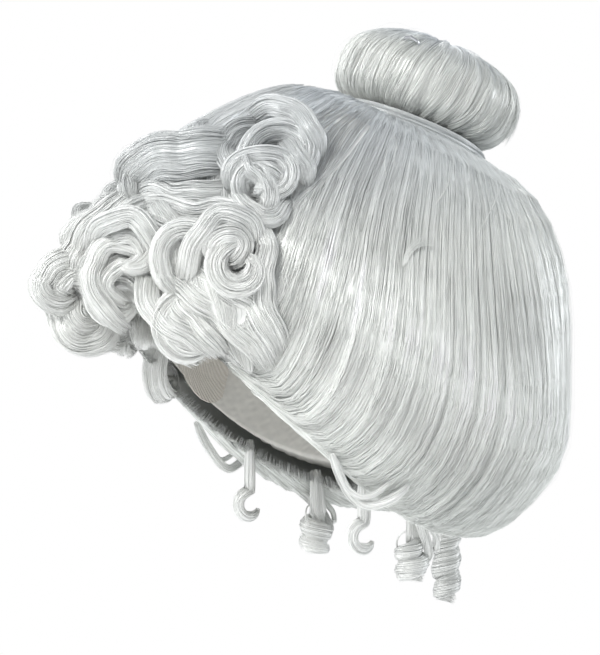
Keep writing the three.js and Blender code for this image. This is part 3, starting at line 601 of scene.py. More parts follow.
def new_material(name, roughness, specular=0.5, metallic=0.0):
    material = bpy.data.materials.new(name)
    material.use_nodes = True
    tree = material.node_tree
    shader = tree.nodes["Principled BSDF"]
    set_inputs(shader, {"Roughness": roughness, "Specular IOR Level": specular, "Metallic": metallic})
    return material, tree, shader, add_node(tree, "TexCoord").outputs["Object"]


def ranged(tree, factor, low, high):
    """A value that follows a factor from 0 to 1 between two limits."""
    node = add_node(tree, "MapRange", {"To Min": low, "To Max": high})
    join(tree, (factor, node.inputs["Value"]))
    return node.outputs["Result"]


def shaded(tree, factor, colour, dark, full_at=1.0):
    """A colour that follows a factor from a dark shade of itself up to full."""
    ramp = add_node(tree, "ValToRGB")
    low, high = ramp.color_ramp.elements
    low.color = (*[c * dark for c in colour], 1)
    high.color = (*colour, 1)
    high.position = full_at
    join(tree, (factor, ramp.inputs["Fac"]))
    return ramp.outputs["Color"]


def hair_material(name, roughness, fleck):
    """Tinted fibre with small changes of tone and gloss along and across the strands."""
    material, tree, shader, position = new_material(name, roughness, specular=0.9, metallic=0.1)
    set_inputs(shader, {"IOR": 1.55, "Sheen Weight": 0.15, "Sheen Roughness": 0.4})
    tint = add_node(tree, "VertexColor", layer_name="tint")
    noise = add_node(tree, "TexNoise", {"Scale": 220, "Detail": 3})
    speck = noise.outputs["Fac"]
    mix = add_node(tree, "VectorMath", operation="SCALE")
    join(
        tree,
        (position, noise.inputs["Vector"]),
        (tint.outputs["Color"], mix.inputs[0]),
        (ranged(tree, speck, 1 - fleck, 1 + fleck), mix.inputs["Scale"]),
        (mix.outputs["Vector"], shader.inputs["Base Color"]),
        (ranged(tree, speck, roughness - 0.07, roughness + 0.07), shader.inputs["Roughness"]),
    )
    return material


def cloth_material(name, colour, weave, depth, roughness=0.85):
    """Knitted or woven cloth: crossed threads in relief, with painted shade where the weave lies low."""
    material, tree, shader, position = new_material(name, roughness, specular=0.3)
    cross = add_node(tree, "Math", operation="MULTIPLY")
    for socket, way in zip(cross.inputs, ("X", "Z")):
        sizes = {"Scale": weave, "Distortion": 1.5, "Detail Scale": 2}
        wave = add_node(tree, "TexWave", sizes, bands_direction=way)
        join(tree, (position, wave.inputs["Vector"]), (wave.outputs["Fac"], socket))
    bump = add_node(tree, "Bump", {"Distance": depth, "Strength": 0.7})
    join(
        tree,
        (cross.outputs[0], bump.inputs["Height"]),
        (bump.outputs[0], shader.inputs["Normal"]),
        # painted shade: the colour darkens with the weave's relief, where the threads lie low
        (shaded(tree, cross.outputs[0], colour, 0.72, 0.6), shader.inputs["Base Color"]),
    )
    return material


def smooth_material(name, colour, roughness, metallic=0.0):
    """Moulded plastic or plated wire, with faint handling marks."""
    material, tree, shader, position = new_material(name, roughness, metallic=metallic)
    noise = add_node(tree, "TexNoise", {"Scale": 600})
    mark = noise.outputs["Fac"]
    join(
        tree,
        (position, noise.inputs["Vector"]),
        (ranged(tree, mark, roughness * 0.7, roughness * 1.3), shader.inputs["Roughness"]),
        (shaded(tree, mark, colour, 0.92), shader.inputs["Base Color"]),
    )
    return material


HAIR = hair_material("hair_fibre", 0.32, 0.06)
CURL = hair_material("curl_fibre", 0.32, 0.05)
CREPE = hair_material("crepe_fibre", 0.8, 0.12)
FINISHES = {  # the CAD nodes that stay in sight, by their material slot
    "cap_fabric": cloth_material("cap_net", (0.80, 0.76, 0.69), 900, 0.0004),
    "elastic": cloth_material("elastic_tape", (0.86, 0.85, 0.81), 1500, 0.0003, 0.7),
    "weft": cloth_material("weft_stitching", (0.84, 0.84, 0.81), 1800, 0.0004, 0.8),
    "tape_patch": smooth_material("tape_patch", (0.84, 0.80, 0.73), 0.45),
    "hook_plastic": smooth_material("hook_plastic", (0.88, 0.88, 0.85), 0.25),
    "pin_metal": smooth_material("pin_wire", (0.50, 0.51, 0.53), 0.35, 0.8),
}

# ---------- The pouf ----------

SWEPT_STRANDS, SWEPT_POINTS = 1750, 19
SKIN_ROWS, SKIN_COLUMNS = 44, 40
SKIN_THICK = 2.0
SWEPT_DEPTH = 0.9  # how deep the lowest fibres lie under the topmost
STRAY_SHARE, STRAY_THIN = 0.025, 0.45  # how many fibres fly away, and their width beside the others'
CREST_WIDTH, CREST_FALL = 0.115, 0.095
# the lift of the wave along its crest, and the painted highlight along the crest, with painted shade in the
# dips beside it
CREST_LIFT, CREST_PAINTED_HIGHLIGHT = 2.1, 0.18
HOLLOW_ANGLE, HOLLOW_SHARE = math.radians(118), 0.6  # its middle, behind each ear
# how far the hair sinks in the hollow, and the painted shade in it
HOLLOW_SINK, HOLLOW_PAINTED_SHADE = 1.2, 0.17
SPREAD_REACH = 118  # the pouf's reach where fibres have their full width
CLUMP = Waves(11, 9, (40, 150), (1, 5))
ROLL = Waves(12, 6, (4, 11), (5, 12))
FINE = Waves(13, 7, (250, 600), (2, 8))


def backward_lean(phi, s):
    """How far a lock swings towards the nape on its way up, in radians."""
    gone = 1 - np.exp(-np.maximum(s, 0) / 0.13)
    kept = 1 - 0.75 * np.clip((s - 0.45) / 0.5, 0, 1) ** 1.5
    return LEAN * np.sin(phi) * gone * kept


def crest(phi, s):
    """The soft wave combed across the sides: 1 along its crest and -1 in the dips above and below it."""
    middle = 0.56 - CREST_FALL * (np.abs(phi) - math.radians(60)) / math.radians(55)
    away = (s - middle) / CREST_WIDTH
    front = np.clip((np.abs(phi) - math.radians(40)) / 0.3, 0, 1)
    return front * (1 - 1.6 * away**2) * np.exp(-(away**2))


def hollow(phi, s):
    """The hollow above the crest on each side, behind the ear, sunk in and with painted shade: 1 in its middle
    and 0 away from it.
    """
    return np.exp(-(((np.abs(phi) - HOLLOW_ANGLE) / 0.2) ** 2) - ((s - HOLLOW_SHARE) / 0.07) ** 2)


def wrapped(phi):
    """The same angle between -pi and pi."""
    return np.mod(phi + np.pi, 2 * np.pi) - np.pi


def pouf_tint_with_painted_light(phi, s, tone):
    height = swept(phi, s)[..., 2]
    # painted shade: greyer and bluer up towards the crown, darker low at the nape
    crown = np.clip((height + 30) / 75, 0, 1)[..., None]
    nape = np.clip((-110 - height) / 80, 0, 1)[..., None]
    tint = WHITE + (CROWN_PAINTED_SHADE - WHITE) * crown + (NAPE_PAINTED_SHADE - WHITE) * nape
    phi = wrapped(phi)
    # painted highlight along the crest, with painted shade in the dips above and below it
    # painted shade in the hollow behind each ear
    return tint * tone * (1 + CREST_PAINTED_HIGHLIGHT * crest(phi, s) - HOLLOW_PAINTED_SHADE * hollow(phi, s))[..., None]


def hair_relief(phi, s):
    """How far the combed hair stands off the smooth pouf, in clumps, rolls and the wave across the sides."""
    combed = 0.22 * CLUMP(phi, s) + 0.8 * ROLL(phi, s) * np.sin(np.pi * np.clip(s, 0, 1))
    phi = wrapped(phi)
    return combed + CREST_LIFT * crest(phi, s) - HOLLOW_SINK * hollow(phi, s)


def pouf_section(name, low, high):
    """One section of the swept hair between two angles, in degrees."""
    rng = np.random.default_rng(100 + int(low) % 97)
    n, m = SWEPT_STRANDS, SWEPT_POINTS
    phi0 = np.sort(rng.uniform(math.radians(low), math.radians(high), n))[:, None]
    start = -TUCK * rng.uniform(0.55, 1, (n, 1))
    s = start + (1 - start) * np.linspace(0, 1, m)[None, :]
    wobble = 0.008 * np.sin(rng.uniform(1, 5, (n, 1)) * s * np.pi + rng.uniform(0, 6.28, (n, 1)))
    phi = phi0 + backward_lean(phi0, s) + wobble + 0.007 * CLUMP(phi0, s)
    depth = SWEPT_DEPTH * rng.random((n, 1)) ** 1.5
    lift = hair_relief(phi, s) + 0.08 * FINE(phi, s) - depth
    stray = rng.random((n, 1)) < STRAY_SHARE
    lift = lift + stray * rng.uniform(0.8, 3.0, (n, 1)) * np.sin(np.pi * np.clip(s, 0, 1)) ** 2
    normal = pouf_normal(phi, s)
    paths = swept(phi, s) + normal * lift[..., None]
    step = 0.01
    spread = np.linalg.norm(swept(phi + step, s) - swept(phi - step, s), axis=-1) / (2 * step) / SPREAD_REACH
    ends = np.clip(np.minimum((s - start) / 0.04, (1 - s) / 0.02), 0.25, 1)
    half = FIBRE_HALF * rng.uniform(0.7, 1.25, (n, 1)) * (0.35 + 0.65 * spread) * ends
    half = half * np.where(stray, STRAY_THIN, 1)
    tone = 1 + 0.05 * CLUMP(phi0 + 5, s) + rng.normal(0, 0.035, (n, 1))
    tint = pouf_tint_with_painted_light(phi, s, tone[..., None])
    strands = fibres(paths, normal, half, np.clip(tint, 0, PALEST))

    edge = 0.003
    a = np.linspace(math.radians(low) + edge, math.radians(high) - edge, SKIN_ROWS)[:, None]
    b = np.linspace(-0.03, 0.995, SKIN_COLUMNS)[None, :]
    a = a + backward_lean(a, b)
    b = np.broadcast_to(b, a.shape)
    skin_normal = pouf_normal(a, b)
    outer = swept(a, b) + skin_normal * (hair_relief(a, b) - SKIN_INSET)[..., None]
    # the skin under the fibres, drawn darker as painted shade
    skin = grid_solid(outer, outer - skin_normal * SKIN_THICK, pouf_tint_with_painted_light(a, b, SKIN_PAINTED_SHADE))
    piece(f"swept_hair_{name}", [strands, skin], HAIR, "wig", [f"hair_{name}"])


# ---------- Locks ----------

# the sides of a lock's core, and how much darker the core is drawn, as painted shade
CORE_SIDES, CORE_PAINTED_SHADE = 14, 0.85
CURL_STRANDS, FILLER_STRANDS = 300, 130
COMBED_POINTS, COMBED_TUCK, COMBED_BULGE = 24, 7, 1.5
COMBED_WAVE = 26  # the length of one wave along a combed lock
MIRROR_SHIFT = 8  # how far back the right side's copies lie
FRONT_STRANDS, FRONT_POINTS = 1220, 26
FRONT_LOW, FRONT_HIGH = math.radians(-58), math.radians(50)
FRONT_LIFT, FRONT_SWELL = 7, 2.5
FRONT_WAVE = Waves(31, 5, (5, 13), (3, 9))


def frames_along(line, across):
    """Unit directions across and out of a line[m, 3], the first near a given direction."""
    tangent = unit(np.gradient(line, axis=0))
    side = unit(across - tangent * (across * tangent).sum(-1, keepdims=True))
    return side, np.cross(tangent, side)


def lock(line, across, width, thick, count, seed, tint, tip=0.35, root=0.6, twist=0.5):
    """A lock: fibres over the skin of an elliptical rope along line[m, 3], round a dense core."""
    rng = np.random.default_rng(seed)
    m = len(line)
    t = np.linspace(0, 1, m)
    side, out = frames_along(line, across)
    taper = np.interp(t, [0, 0.12, 0.8, 1], [root, 1, 1, tip])
    psi = np.sort(rng.uniform(0, 2 * np.pi, count))[:, None]
    reach = 1 - 0.28 * rng.random((count, 1)) ** 2
    reach = reach * (1 + 0.10 * np.sin(3 * psi + seed + 4 * t) + 0.06 * np.sin(7 * psi + 5 * t + 2 * seed))
    waver = np.sin(rng.uniform(2, 7, (count, 1)) * t + rng.uniform(0, 6.28, (count, 1)))
    angle = psi + twist * t + 0.12 * waver
    stray = rng.random((count, 1)) < 0.05
    reach = reach + stray * rng.uniform(0.05, 0.35, (count, 1)) * t
    x = (np.cos(angle) * reach * width * taper)[..., None]
    y = (np.sin(angle) * reach * thick * taper)[..., None]
    start = rng.uniform(0, 0.03, (count, 1))
    stop = 1 - 0.12 * rng.random((count, 1)) ** 2
    paths = resampled(line + side * x + out * y, (start + (stop - start) * t) * (m - 1))
    away = unit(side * (np.cos(angle) / width)[..., None] + out * (np.sin(angle) / thick)[..., None])
    ends = np.interp(t, [0, 0.05, 0.9, 1], [0.4, 1, 1, 0.3])
    sizes = FIBRE_HALF * rng.uniform(0.7, 1.25, (count, 1)) * ends * np.where(stray, 0.5, 1)
    tone = 1 + rng.normal(0, 0.04, (count, 1)) + 0.03 * np.sin(5 * psi + seed)
    tint = np.broadcast_to(tint, (m, 3))
    strands = fibres(paths, away, sizes, np.clip(tint * tone[..., None], 0, PALEST))

    ring = np.linspace(0, 2 * np.pi, CORE_SIDES + 1)[:-1]
    core = 0.80 * taper * np.interp(t, [0, 0.03, 0.9, 1], [0.3, 1, 0.9, 0.1])
    cx = (np.cos(ring[:, None]) * width * core)[..., None]
    cy = (np.sin(ring[:, None]) * thick * core)[..., None]
    outer = line + side * cx + out * cy
    inner = line + (outer - line) * 0.3
    # the core inside the fibres, drawn darker as painted shade
    return [strands, grid_solid(outer, inner, tint * CORE_PAINTED_SHADE, closed=True)]


def curl_tint_with_painted_shade(points):
    """The curls' tint at some points, with painted shade: palest low over the forehead and greyer towards the
    crown.
    """
    share = np.clip((points[..., 2:] + 40) / 55, 0, 1)
    return CURL_TINT + (TOP_CURL_PAINTED_SHADE - CURL_TINT) * share


def curl_axes(facing):
    """The axis that a curl turns about, and the two directions across it."""
    axis = unit(np.array(facing, float))
    guide = np.array([0, -1.0, 0]) if abs(axis[2]) > 0.9 else np.array([0, 0, 1.0])
    up = unit(guide - axis * (guide @ axis))
    return axis, np.cross(up, axis), up


def curl_line(curl, points=22, lead=0.28):
    """The middle line of a curl, with a lead that comes up from the pouf behind it."""
    (angle, share), out, drop, facing, radius, _, start, sweep, rise, tighten = curl
    phi = math.radians(angle)
    outward = np.array([math.sin(phi), -math.cos(phi), 0])
    surface = pouf(np.array(phi), np.array(share))
    centre = surface + out * outward - np.array([0, 0, drop])
    axis, right, up = curl_axes(facing)
    t = np.linspace(-lead, 1, points)[:, None]
    turn = np.radians(start + sweep * t)
    reach = radius * (1 - tighten * np.maximum(t, 0)) * (1 + 0.8 * np.maximum(-t, 0) / lead)
    line = centre + right * reach * np.cos(turn) + up * reach * np.sin(turn) + axis * rise * (t - 0.5)
    sink = (np.maximum(-t, 0) / lead) ** 1.5
    inward = unit(HEAD_CENTRE + np.array([0, 0, 50.0]) - centre)
    return line + inward * sink * (out + 10), axis


def combed_lock(points, width, seed, side=1):
    """A broad lock that lies with its flat side out, with both ends tucked in."""
    t = np.linspace(0, 1, COMBED_POINTS)
    facing = unit(np.array(LEFTWARD)) * [side, 1, 1]
    points = np.array(points, float) * [side, 1, 1] + [0, MIRROR_SHIFT if side < 0 else 0, 0]
    line = smooth_line(points, COMBED_POINTS)
    tuck = np.maximum(0, 1 - t / 0.18) ** 2 + np.maximum(0, (t - 0.82) / 0.18) ** 2
    line = line - facing * (COMBED_TUCK * tuck - COMBED_BULGE * np.sin(np.pi * t))[:, None]
    across = np.cross(unit(np.gradient(line, axis=0)), facing)
    length = np.linalg.norm(np.diff(line, axis=0), axis=1).sum()
    wave = np.sin(2 * np.pi * length / COMBED_WAVE * t + seed)[:, None] * np.sin(np.pi * t)[:, None]
    line = line + 1.1 * wave * facing + 0.8 * wave * across
    thick = 2.6 + 0.28 * width
    count = int(95 + 15 * width)
    return lock(line, across, width, thick, count, seed, curl_tint_with_painted_shade(line), twist=0.25, root=0.8, tip=0.7)


def front_curls():
    """The curls that stand for the CAD's, each with the combed locks that the photo shows over it."""
    for number, curl in enumerate(FRONT_CURLS, 1):
        line, axis = curl_line(curl)
        size = curl[5]
        parts = lock(line, axis, size * 1.1, size * 0.85, CURL_STRANDS, number, curl_tint_with_painted_shade(line), twist=0.7)
        for j, (points, width) in enumerate(COMBED_LOCKS.get(number, [])):
            parts += combed_lock(points, width, 1000 + 10 * number + j)
        for j, (points, width) in enumerate(COMBED_LOCKS.get(MIRRORED_LOCKS.get(number), [])):
            parts += combed_lock(points, width, 2000 + 10 * number + j, side=-1)
        piece(f"curl_{number:02d}", parts, CURL, "wig", [f"front_curl_{number:02d}"])


def front_surface(a, b, depth):
    """The wavy swell over the forehead, at a depth under its outside, and its normal."""
    into = np.clip(b / 0.12, 0, 1) * np.clip((0.84 - b) / 0.25, 0, 1)
    edge = np.clip((a - FRONT_LOW) / 0.25, 0, 1) * np.clip((FRONT_HIGH + 0.1 - a) / 0.25, 0, 1)
    swell = (3 - 2 * into) * into**2 * (3 - 2 * edge) * edge**2
    high_up = np.clip((b - 0.32) / 0.2, 0, 1)
    lift = swell * (1 - 0.8 * high_up) * (FRONT_LIFT + FRONT_SWELL * FRONT_WAVE(a, 2 * b)) - depth
    turn = 0.09 * np.sin(20 * b + 5 * np.sin(4 * a)) * swell
    normal = pouf_normal(a + turn, b)
    return swept(a + turn, b) + normal * lift[..., None], normal


def front_waves():
    """The wavy hair over the forehead that the curls grow out of."""
    rng = np.random.default_rng(8)
    n, t = FRONT_STRANDS, np.linspace(0, 1, FRONT_POINTS)
    a = np.sort(rng.uniform(FRONT_LOW, FRONT_HIGH, n))[:, None] + 0.006 * CLUMP(0, t)
    b = rng.uniform(-0.06, 0.03, (n, 1)) + rng.uniform(0.78, 0.84, (n, 1)) * t
    paths, normal = front_surface(a, b, rng.random((n, 1)))
    half = FIBRE_HALF * rng.uniform(0.8, 1.3, (n, 1)) + 0 * b
    tone = 1 + rng.normal(0, 0.035, (n, 1)) + 0.04 * CLUMP(a, b)
    # painted shade: the hair under the curls is drawn darker
    tint = np.clip(curl_tint_with_painted_shade(paths) * 0.93 * tone[..., None], 0, PALEST)
    rows, columns = np.linspace(FRONT_LOW, FRONT_HIGH, 60), np.linspace(-0.03, 0.8, 40)
    rows, columns = np.meshgrid(rows, columns, indexing="ij")
    outer, skin_normal = front_surface(rows, columns, 1.0)
    # the skin under these fibres is drawn darker still, as painted shade
    parts = [fibres(paths, normal, half, tint), grid_solid(outer, outer - skin_normal * 1.5, CURL_TINT * 0.8)]
    piece("front_waves", parts, CURL, "wig")


def filler_curls():
    """Smaller loose locks that fill in between the big curls."""
    rng = np.random.default_rng(42)
    groups = {"low": [], "high": []}
    spots = []
    for row, share in enumerate(np.linspace(0.10, 0.70, 8)):
        width = 60 - 12 * abs(row - 2) / 5
        for angle in np.linspace(-62, min(width, 52), 9):
            spots.append((angle + rng.uniform(-4, 4), share + rng.uniform(-0.03, 0.03)))
    spots = [(angle, share) for angle, share in spots if angle < 22 and share < 0.45]
    for i, (angle, share) in enumerate(spots):
        phi = math.radians(angle)
        normal = pouf_normal(np.array(phi), np.array(share))
        tilt = rng.uniform(-0.9, 0.9, 3)
        facing = unit(normal * 0.7 + tilt)
        radius = rng.uniform(8, 13)
        curl = (
            (angle, share), rng.uniform(0, 5), 0, facing, radius, 0, rng.uniform(0, 360),
            rng.choice([-1, 1]) * rng.uniform(200, 300), rng.uniform(3, 8), rng.uniform(0.1, 0.35),
        )
        line, axis = curl_line(curl, points=18)
        size = rng.uniform(5.5, 8)
        # painted shade: the locks between the big curls are drawn a little darker
        tint = curl_tint_with_painted_shade(line) * 0.97
        groups["low" if share < 0.38 else "high"] += lock(
            line, axis, size * 1.2, size * 0.8, FILLER_STRANDS, 500 + i, tint, twist=0.9
        )
    for name, parts in groups.items():
        piece(f"curl_fill_{name}", parts, CURL, "wig")


# ---------- Ringlets ----------


def with_stem(root, loop, end, points=6):
    """A ringlet's line with the stem that it hangs by, from inside the hairline down to its first turn."""
    top = root + ROOT_TUCK
    return np.concatenate([top + (loop[0] - top) * np.linspace(0, end, points)[:, None], loop])


def ringlet_line(spec, side):
    root = np.array(spec["root"], float) * [side, 1, 1]
    t = np.linspace(0, 1, int(18 * spec["turns"]) + 1)
    turn = 2 * np.pi * spec["turns"] * t
    spread = spec["radius"] * np.minimum(1, 3 * t + 0.3)
    down = -spec["stem"] - spec["drop"] * t
    coil = root + np.stack([side * spread * np.sin(turn), spread * np.cos(turn), down], -1)
    return with_stem(root, coil, 0.9)


def hook_line(spec, side):
    root = np.array(spec["root"], float) * [side, 1, 1]
    t = np.linspace(0, 1, 18)
    turn = np.radians(90 + spec["sweep"] * t)
    reach = spec["radius"] * (1 - 0.35 * t)
    loop = root + np.stack([0 * t, reach * np.cos(turn), -spec["drop"] + reach * np.sin(turn)], -1)
    return with_stem(root, loop, 0.85)


def thin_lock(points, side, width, count, seed, flat=0.6, twist=1.0):
    """A slim lock through a few points, flat side outwards."""
    line = smooth_line(points, 26) * [side, 1, 1]
    across = np.cross(unit(np.gradient(line, axis=0)), np.array([side, 0, 0]))
    return lock(line, across, width, width * flat, count, seed, CURL_TINT, twist=twist, tip=0.4)


def ringlet(spec, line, across, seed, twist):
    shape = spec["width"], spec["thick"], spec["strands"], seed
    return lock(line, across, *shape, CURL_TINT, tip=spec["tip"], twist=twist)


def ringlets():
    """The corkscrew at the back, the coil and the hook on each side, and the thin locks beside the coil."""
    upright, sideways = np.array([0, 0, 1.0]), np.array([1.0, 0, 0])
    parts = ringlet(BACK_RINGLET, ringlet_line(BACK_RINGLET, 1), upright, 71, 1.5)
    piece("ringlet_back", parts, CURL, "nape_ringlet_back", ["nape_ringlet_back"])
    for side, name in ((1, "left"), (-1, "right")):
        parts = ringlet(SIDE_RINGLET, ringlet_line(SIDE_RINGLET, side), upright, 80 + side, 1.5)
        for j, (points, width, count) in enumerate(NAPE_LOCKS):
            parts += thin_lock(points, side, width, count, 84 + j)
        piece(f"ringlet_{name}", parts, CURL, f"nape_ringlet_{name}", [f"nape_ringlet_{name}"])
        parts = ringlet(HOOK_RINGLET, hook_line(HOOK_RINGLET, side), sideways, 90 + side, 0.5)
        piece(f"ear_curl_{name}", parts, CURL, f"ear_ringlet_{name}", [f"ear_ringlet_{name}"])


# ---------- Topknot ----------

KNOT_STRANDS, KNOT_POINTS = 1500, 20
KNOT_SWIRL = 0.35  # how far a strand turns round the topknot on its way over it, in radians
KNOT_STRAYS = 0.03
KNOT_MOUTH_ANGLE = -1.28  # where its outline begins, at the mouth underneath
DIMPLE_DEPTH, DIMPLE_RADIUS = 5, 9
END_STRANDS, END_POINTS, END_ANGLE = 260, 12, math.radians(157)
CORE_RADIUS, CORE_HALF = 32.4, 10.6
KNOT_CLUMP = Waves(21, 8, (9, 34), (1, 5))


def knot_profile(q):
    """Radius and height on the topknot, from its mouth (0) over the rim to the middle of its top (1)."""
    a = KNOT_MOUTH_ANGLE + (np.pi / 2 - KNOT_MOUTH_ANGLE) * q
    power = np.where(a < 0, 2 / KNOT_UNDER_ROUNDNESS, 2 / KNOT_ROUNDNESS)
    radius = KNOT_RADIUS * np.maximum(np.cos(a), 0) ** power
    height = KNOT_HALF * np.sign(np.sin(a)) * np.abs(np.sin(a)) ** power
    dimple = DIMPLE_DEPTH * np.exp(-((radius / DIMPLE_RADIUS) ** 2))
    return radius, height - dimple


def knot_point(angle, q, lift):
    """A point that stands off the topknot's outside, and the way out from it there."""
    step = 0.003
    r, z = knot_profile(q)
    r2, z2 = knot_profile(np.minimum(q + step, 1))
    r1, z1 = knot_profile(np.maximum(q - step, 0))
    dr, dz = r2 - r1, z2 - z1
    size = np.maximum(np.hypot(dr, dz), 1e-9)
    nr, nz = dz / size, -dr / size
    return knot_ring(r + nr * lift, angle, z + nz * lift), unit(knot_ring(nr, angle, nz) - KNOT_CENTRE)


def knot_hair():
    """The topknot's strands, from its mouth over the rim to the middle of its top."""
    rng = np.random.default_rng(5)
    n, m = KNOT_STRANDS, KNOT_POINTS
    angle0 = np.sort(rng.uniform(0, 2 * np.pi, n))[:, None]
    stop = 1 - 0.06 * rng.random((n, 1))
    q = stop * np.linspace(0, 1, m)[None, :]
    waver = np.sin(rng.uniform(2, 6, (n, 1)) * q + rng.uniform(0, 6, (n, 1)))
    angle = angle0 + KNOT_SWIRL * q + 0.02 * KNOT_CLUMP(angle0, q) + 0.02 * waver
    stray = rng.random((n, 1)) < KNOT_STRAYS
    lift = 0.5 * KNOT_CLUMP(angle, q) - 1.0 * rng.random((n, 1)) ** 1.3
    peak = rng.uniform(0.3, 0.8, (n, 1))
    lift = lift + stray * rng.uniform(0.8, 3.5, (n, 1)) * np.exp(-(((q - peak) / 0.12) ** 2))
    paths, away = knot_point(angle, q, lift)
    r, _ = knot_profile(q)
    half = FIBRE_HALF * rng.uniform(0.7, 1.2, (n, 1)) * (0.2 + 0.8 * r / KNOT_RADIUS)
    half = half * np.where(stray, STRAY_THIN, 1)
    tone = 1 + rng.normal(0, 0.04, (n, 1)) + 0.04 * KNOT_CLUMP(angle0 + 3, q)
    # painted shade: the topknot greyer and bluer over its top, like the crown, and darker on its front side
    top = np.clip((q - 0.55) / 0.3, 0, 1)[..., None]
    front_painted_shade = np.clip((40 - paths[..., 1:2]) / 50, 0, 1)
    tint = (WHITE * (1.05 - 0.2 * front_painted_shade) + (CROWN_PAINTED_SHADE - WHITE) * top) * tone[..., None]
    strands = fibres(paths, away, half, np.clip(tint, 0, PALEST))
    a, b = np.meshgrid(np.linspace(0, 2 * np.pi, 73)[:-1], np.linspace(0, 0.985, 30), indexing="ij")
    a = a + KNOT_SWIRL * b
    outer, _ = knot_point(a, b, 0.5 * KNOT_CLUMP(a, b) - SKIN_INSET)
    inner, _ = knot_point(a, b, -SKIN_INSET - 3.0)
    # the skin under the fibres, drawn darker as painted shade
    skin = grid_solid(outer, inner, WHITE * SKIN_PAINTED_SHADE, closed=True)
    piece("topknot_fibres", [strands, skin], HAIR, "wig", ["topknot_hair"])


def knot_ends():
    """The loose ends of the topknot's hair, frayed out over the rim at its back."""
    rng = np.random.default_rng(15)
    n, t = END_STRANDS, np.linspace(0, 1, END_POINTS)[None, :]
    angle = rng.normal(END_ANGLE, 0.26, (n, 1))
    stop = rng.uniform(0.36, 0.52, (n, 1)) + 0.03 * np.sin(31 * angle)
    q = 0.80 + (stop - 0.80) * t
    tips = rng.uniform(0.2, 2.6, (n, 1)) + 0.8 * np.sin(23 * angle)
    lift = 0.4 + 0.8 * np.sin(np.pi * t) + tips * t**3
    angle = angle + rng.normal(0, 0.05, (n, 1)) * t**2 + 0.02 * np.sin(4 * t + 9 * angle)
    paths, away = knot_point(angle, q, lift)
    half = FIBRE_HALF * rng.uniform(0.8, 1.3, (n, 1)) * np.interp(t, [0, 0.1, 0.7, 1], [0.3, 1, 1, 0.35])
    tint = np.clip(WHITE * (1.03 + rng.normal(0, 0.05, (n, 1, 1))), 0, PALEST)
    piece("topknot_ends", [fibres(paths, away, half, tint)], HAIR, "wig")


def knot_band():
    """The smooth band of hair that runs round under the topknot."""
    t = np.linspace(0, 1, 40)
    angle = np.radians(-40 + 260 * t)
    line = knot_ring(39.5 + 1.5 * np.sin(5 * t), angle, KNOT_FOOT + 0.6)
    radial = knot_ring(1, angle, -0.45) - KNOT_CENTRE
    # painted shade: the band under the topknot takes a tint half way to the crown's greyer one
    parts = lock(line, radial, 6.5, 3.1, 220, 61, (WHITE + CROWN_PAINTED_SHADE) / 2, twist=0.6, tip=0.5, root=0.5)
    piece("topknot_band", parts, HAIR, "wig")


def loose_wisps():
    """Stray strands and thin locks that stand off the combed hair."""
    m = 18
    t = np.linspace(0, 1, m)
    parts = []
    for number, (points, width, count) in enumerate(WISPS):
        rng = np.random.default_rng(300 + number)
        line = smooth_line(points, m)
        tangent = unit(np.gradient(line, axis=0))
        away = unit(line - HEAD_CENTRE + [0, 0, 0.3])
        side = unit(np.cross(tangent, away))
        place = rng.uniform(-1, 1, (count, 1)) * (0.35 + 0.65 * t**1.5)
        rise = rng.uniform(0, 1, (count, 1)) * (0.2 + 0.8 * t) * width * 0.5
        paths = line + side * (place * width)[..., None] + away * rise[..., None]
        paths = resampled(paths, rng.uniform(0.55, 1, (count, 1)) * t * (m - 1))
        taper = np.interp(t, [0, 0.1, 0.6, 1], [0.3, 1, 1, 0.15])
        half = WISP_HALF * rng.uniform(0.8, 1.3, (count, 1)) * taper
        tint = np.clip(WHITE * (1.02 + rng.normal(0, 0.03, (count, 1, 1))), 0, PALEST)
        parts.append(fibres(paths, np.broadcast_to(away, paths.shape), half, tint))
    piece("loose_wisps", parts, HAIR, "wig")


def ear_wisps():
    """The thin lock that hangs in front of each ear and turns back under it."""
    for side, name in ((1, "left"), (-1, "right")):
        parts = []
        for points, width, count in EAR_WISPS:
            parts += thin_lock(points, side, width, count, 31 + count, flat=0.55, twist=1.2)
        piece(f"ear_wisp_{name}", parts, CURL, "wig")


def gathered_hair():
    """The hair that runs in under the topknot and up its stem."""
    rng = np.random.default_rng(6)
    n, t = 500, np.linspace(0, 1, 10)
    angle = np.sort(rng.uniform(0, 2 * np.pi, n))[:, None]
    stages = [0, 0.55, 0.75, 1]
    radius = np.interp(t, stages, [GATHER_RADIUS + 2, 20, 15, 14.5]) + rng.uniform(-0.8, 0.3, (n, 1))
    rise = np.interp(t, stages, [-1.5, -0.3, 3, 11])
    paths = knot_ring(radius, angle, KNOT_FOOT + rise + rng.uniform(-0.8, 0, (n, 1)))
    away = np.broadcast_to(unit(knot_ring(1, angle, 1) - KNOT_CENTRE), paths.shape)
    # painted shade: the hair running in under the topknot is drawn a little darker
    strands = fibres(paths, away, np.full(paths.shape[:2], 0.3), WHITE * 0.95)
    a = np.linspace(0, 2 * np.pi, 49)[:-1, None]
    radius = np.array([GATHER_RADIUS, 20, 14, 13.5, 0.5])
    height = KNOT_FOOT + np.array([-3.0, -2.0, 2.0, 11.0, 11.5])
    outer, inner = knot_ring(radius, a, height), knot_ring(0.9 * radius, a, height - 3)
    # the skin under the fibres, drawn darker as painted shade
    skin = grid_solid(outer, inner, WHITE * SKIN_PAINTED_SHADE, closed=True)
    piece("gathered_fibres", [strands, skin], HAIR, "wig", ["hair_gather"])


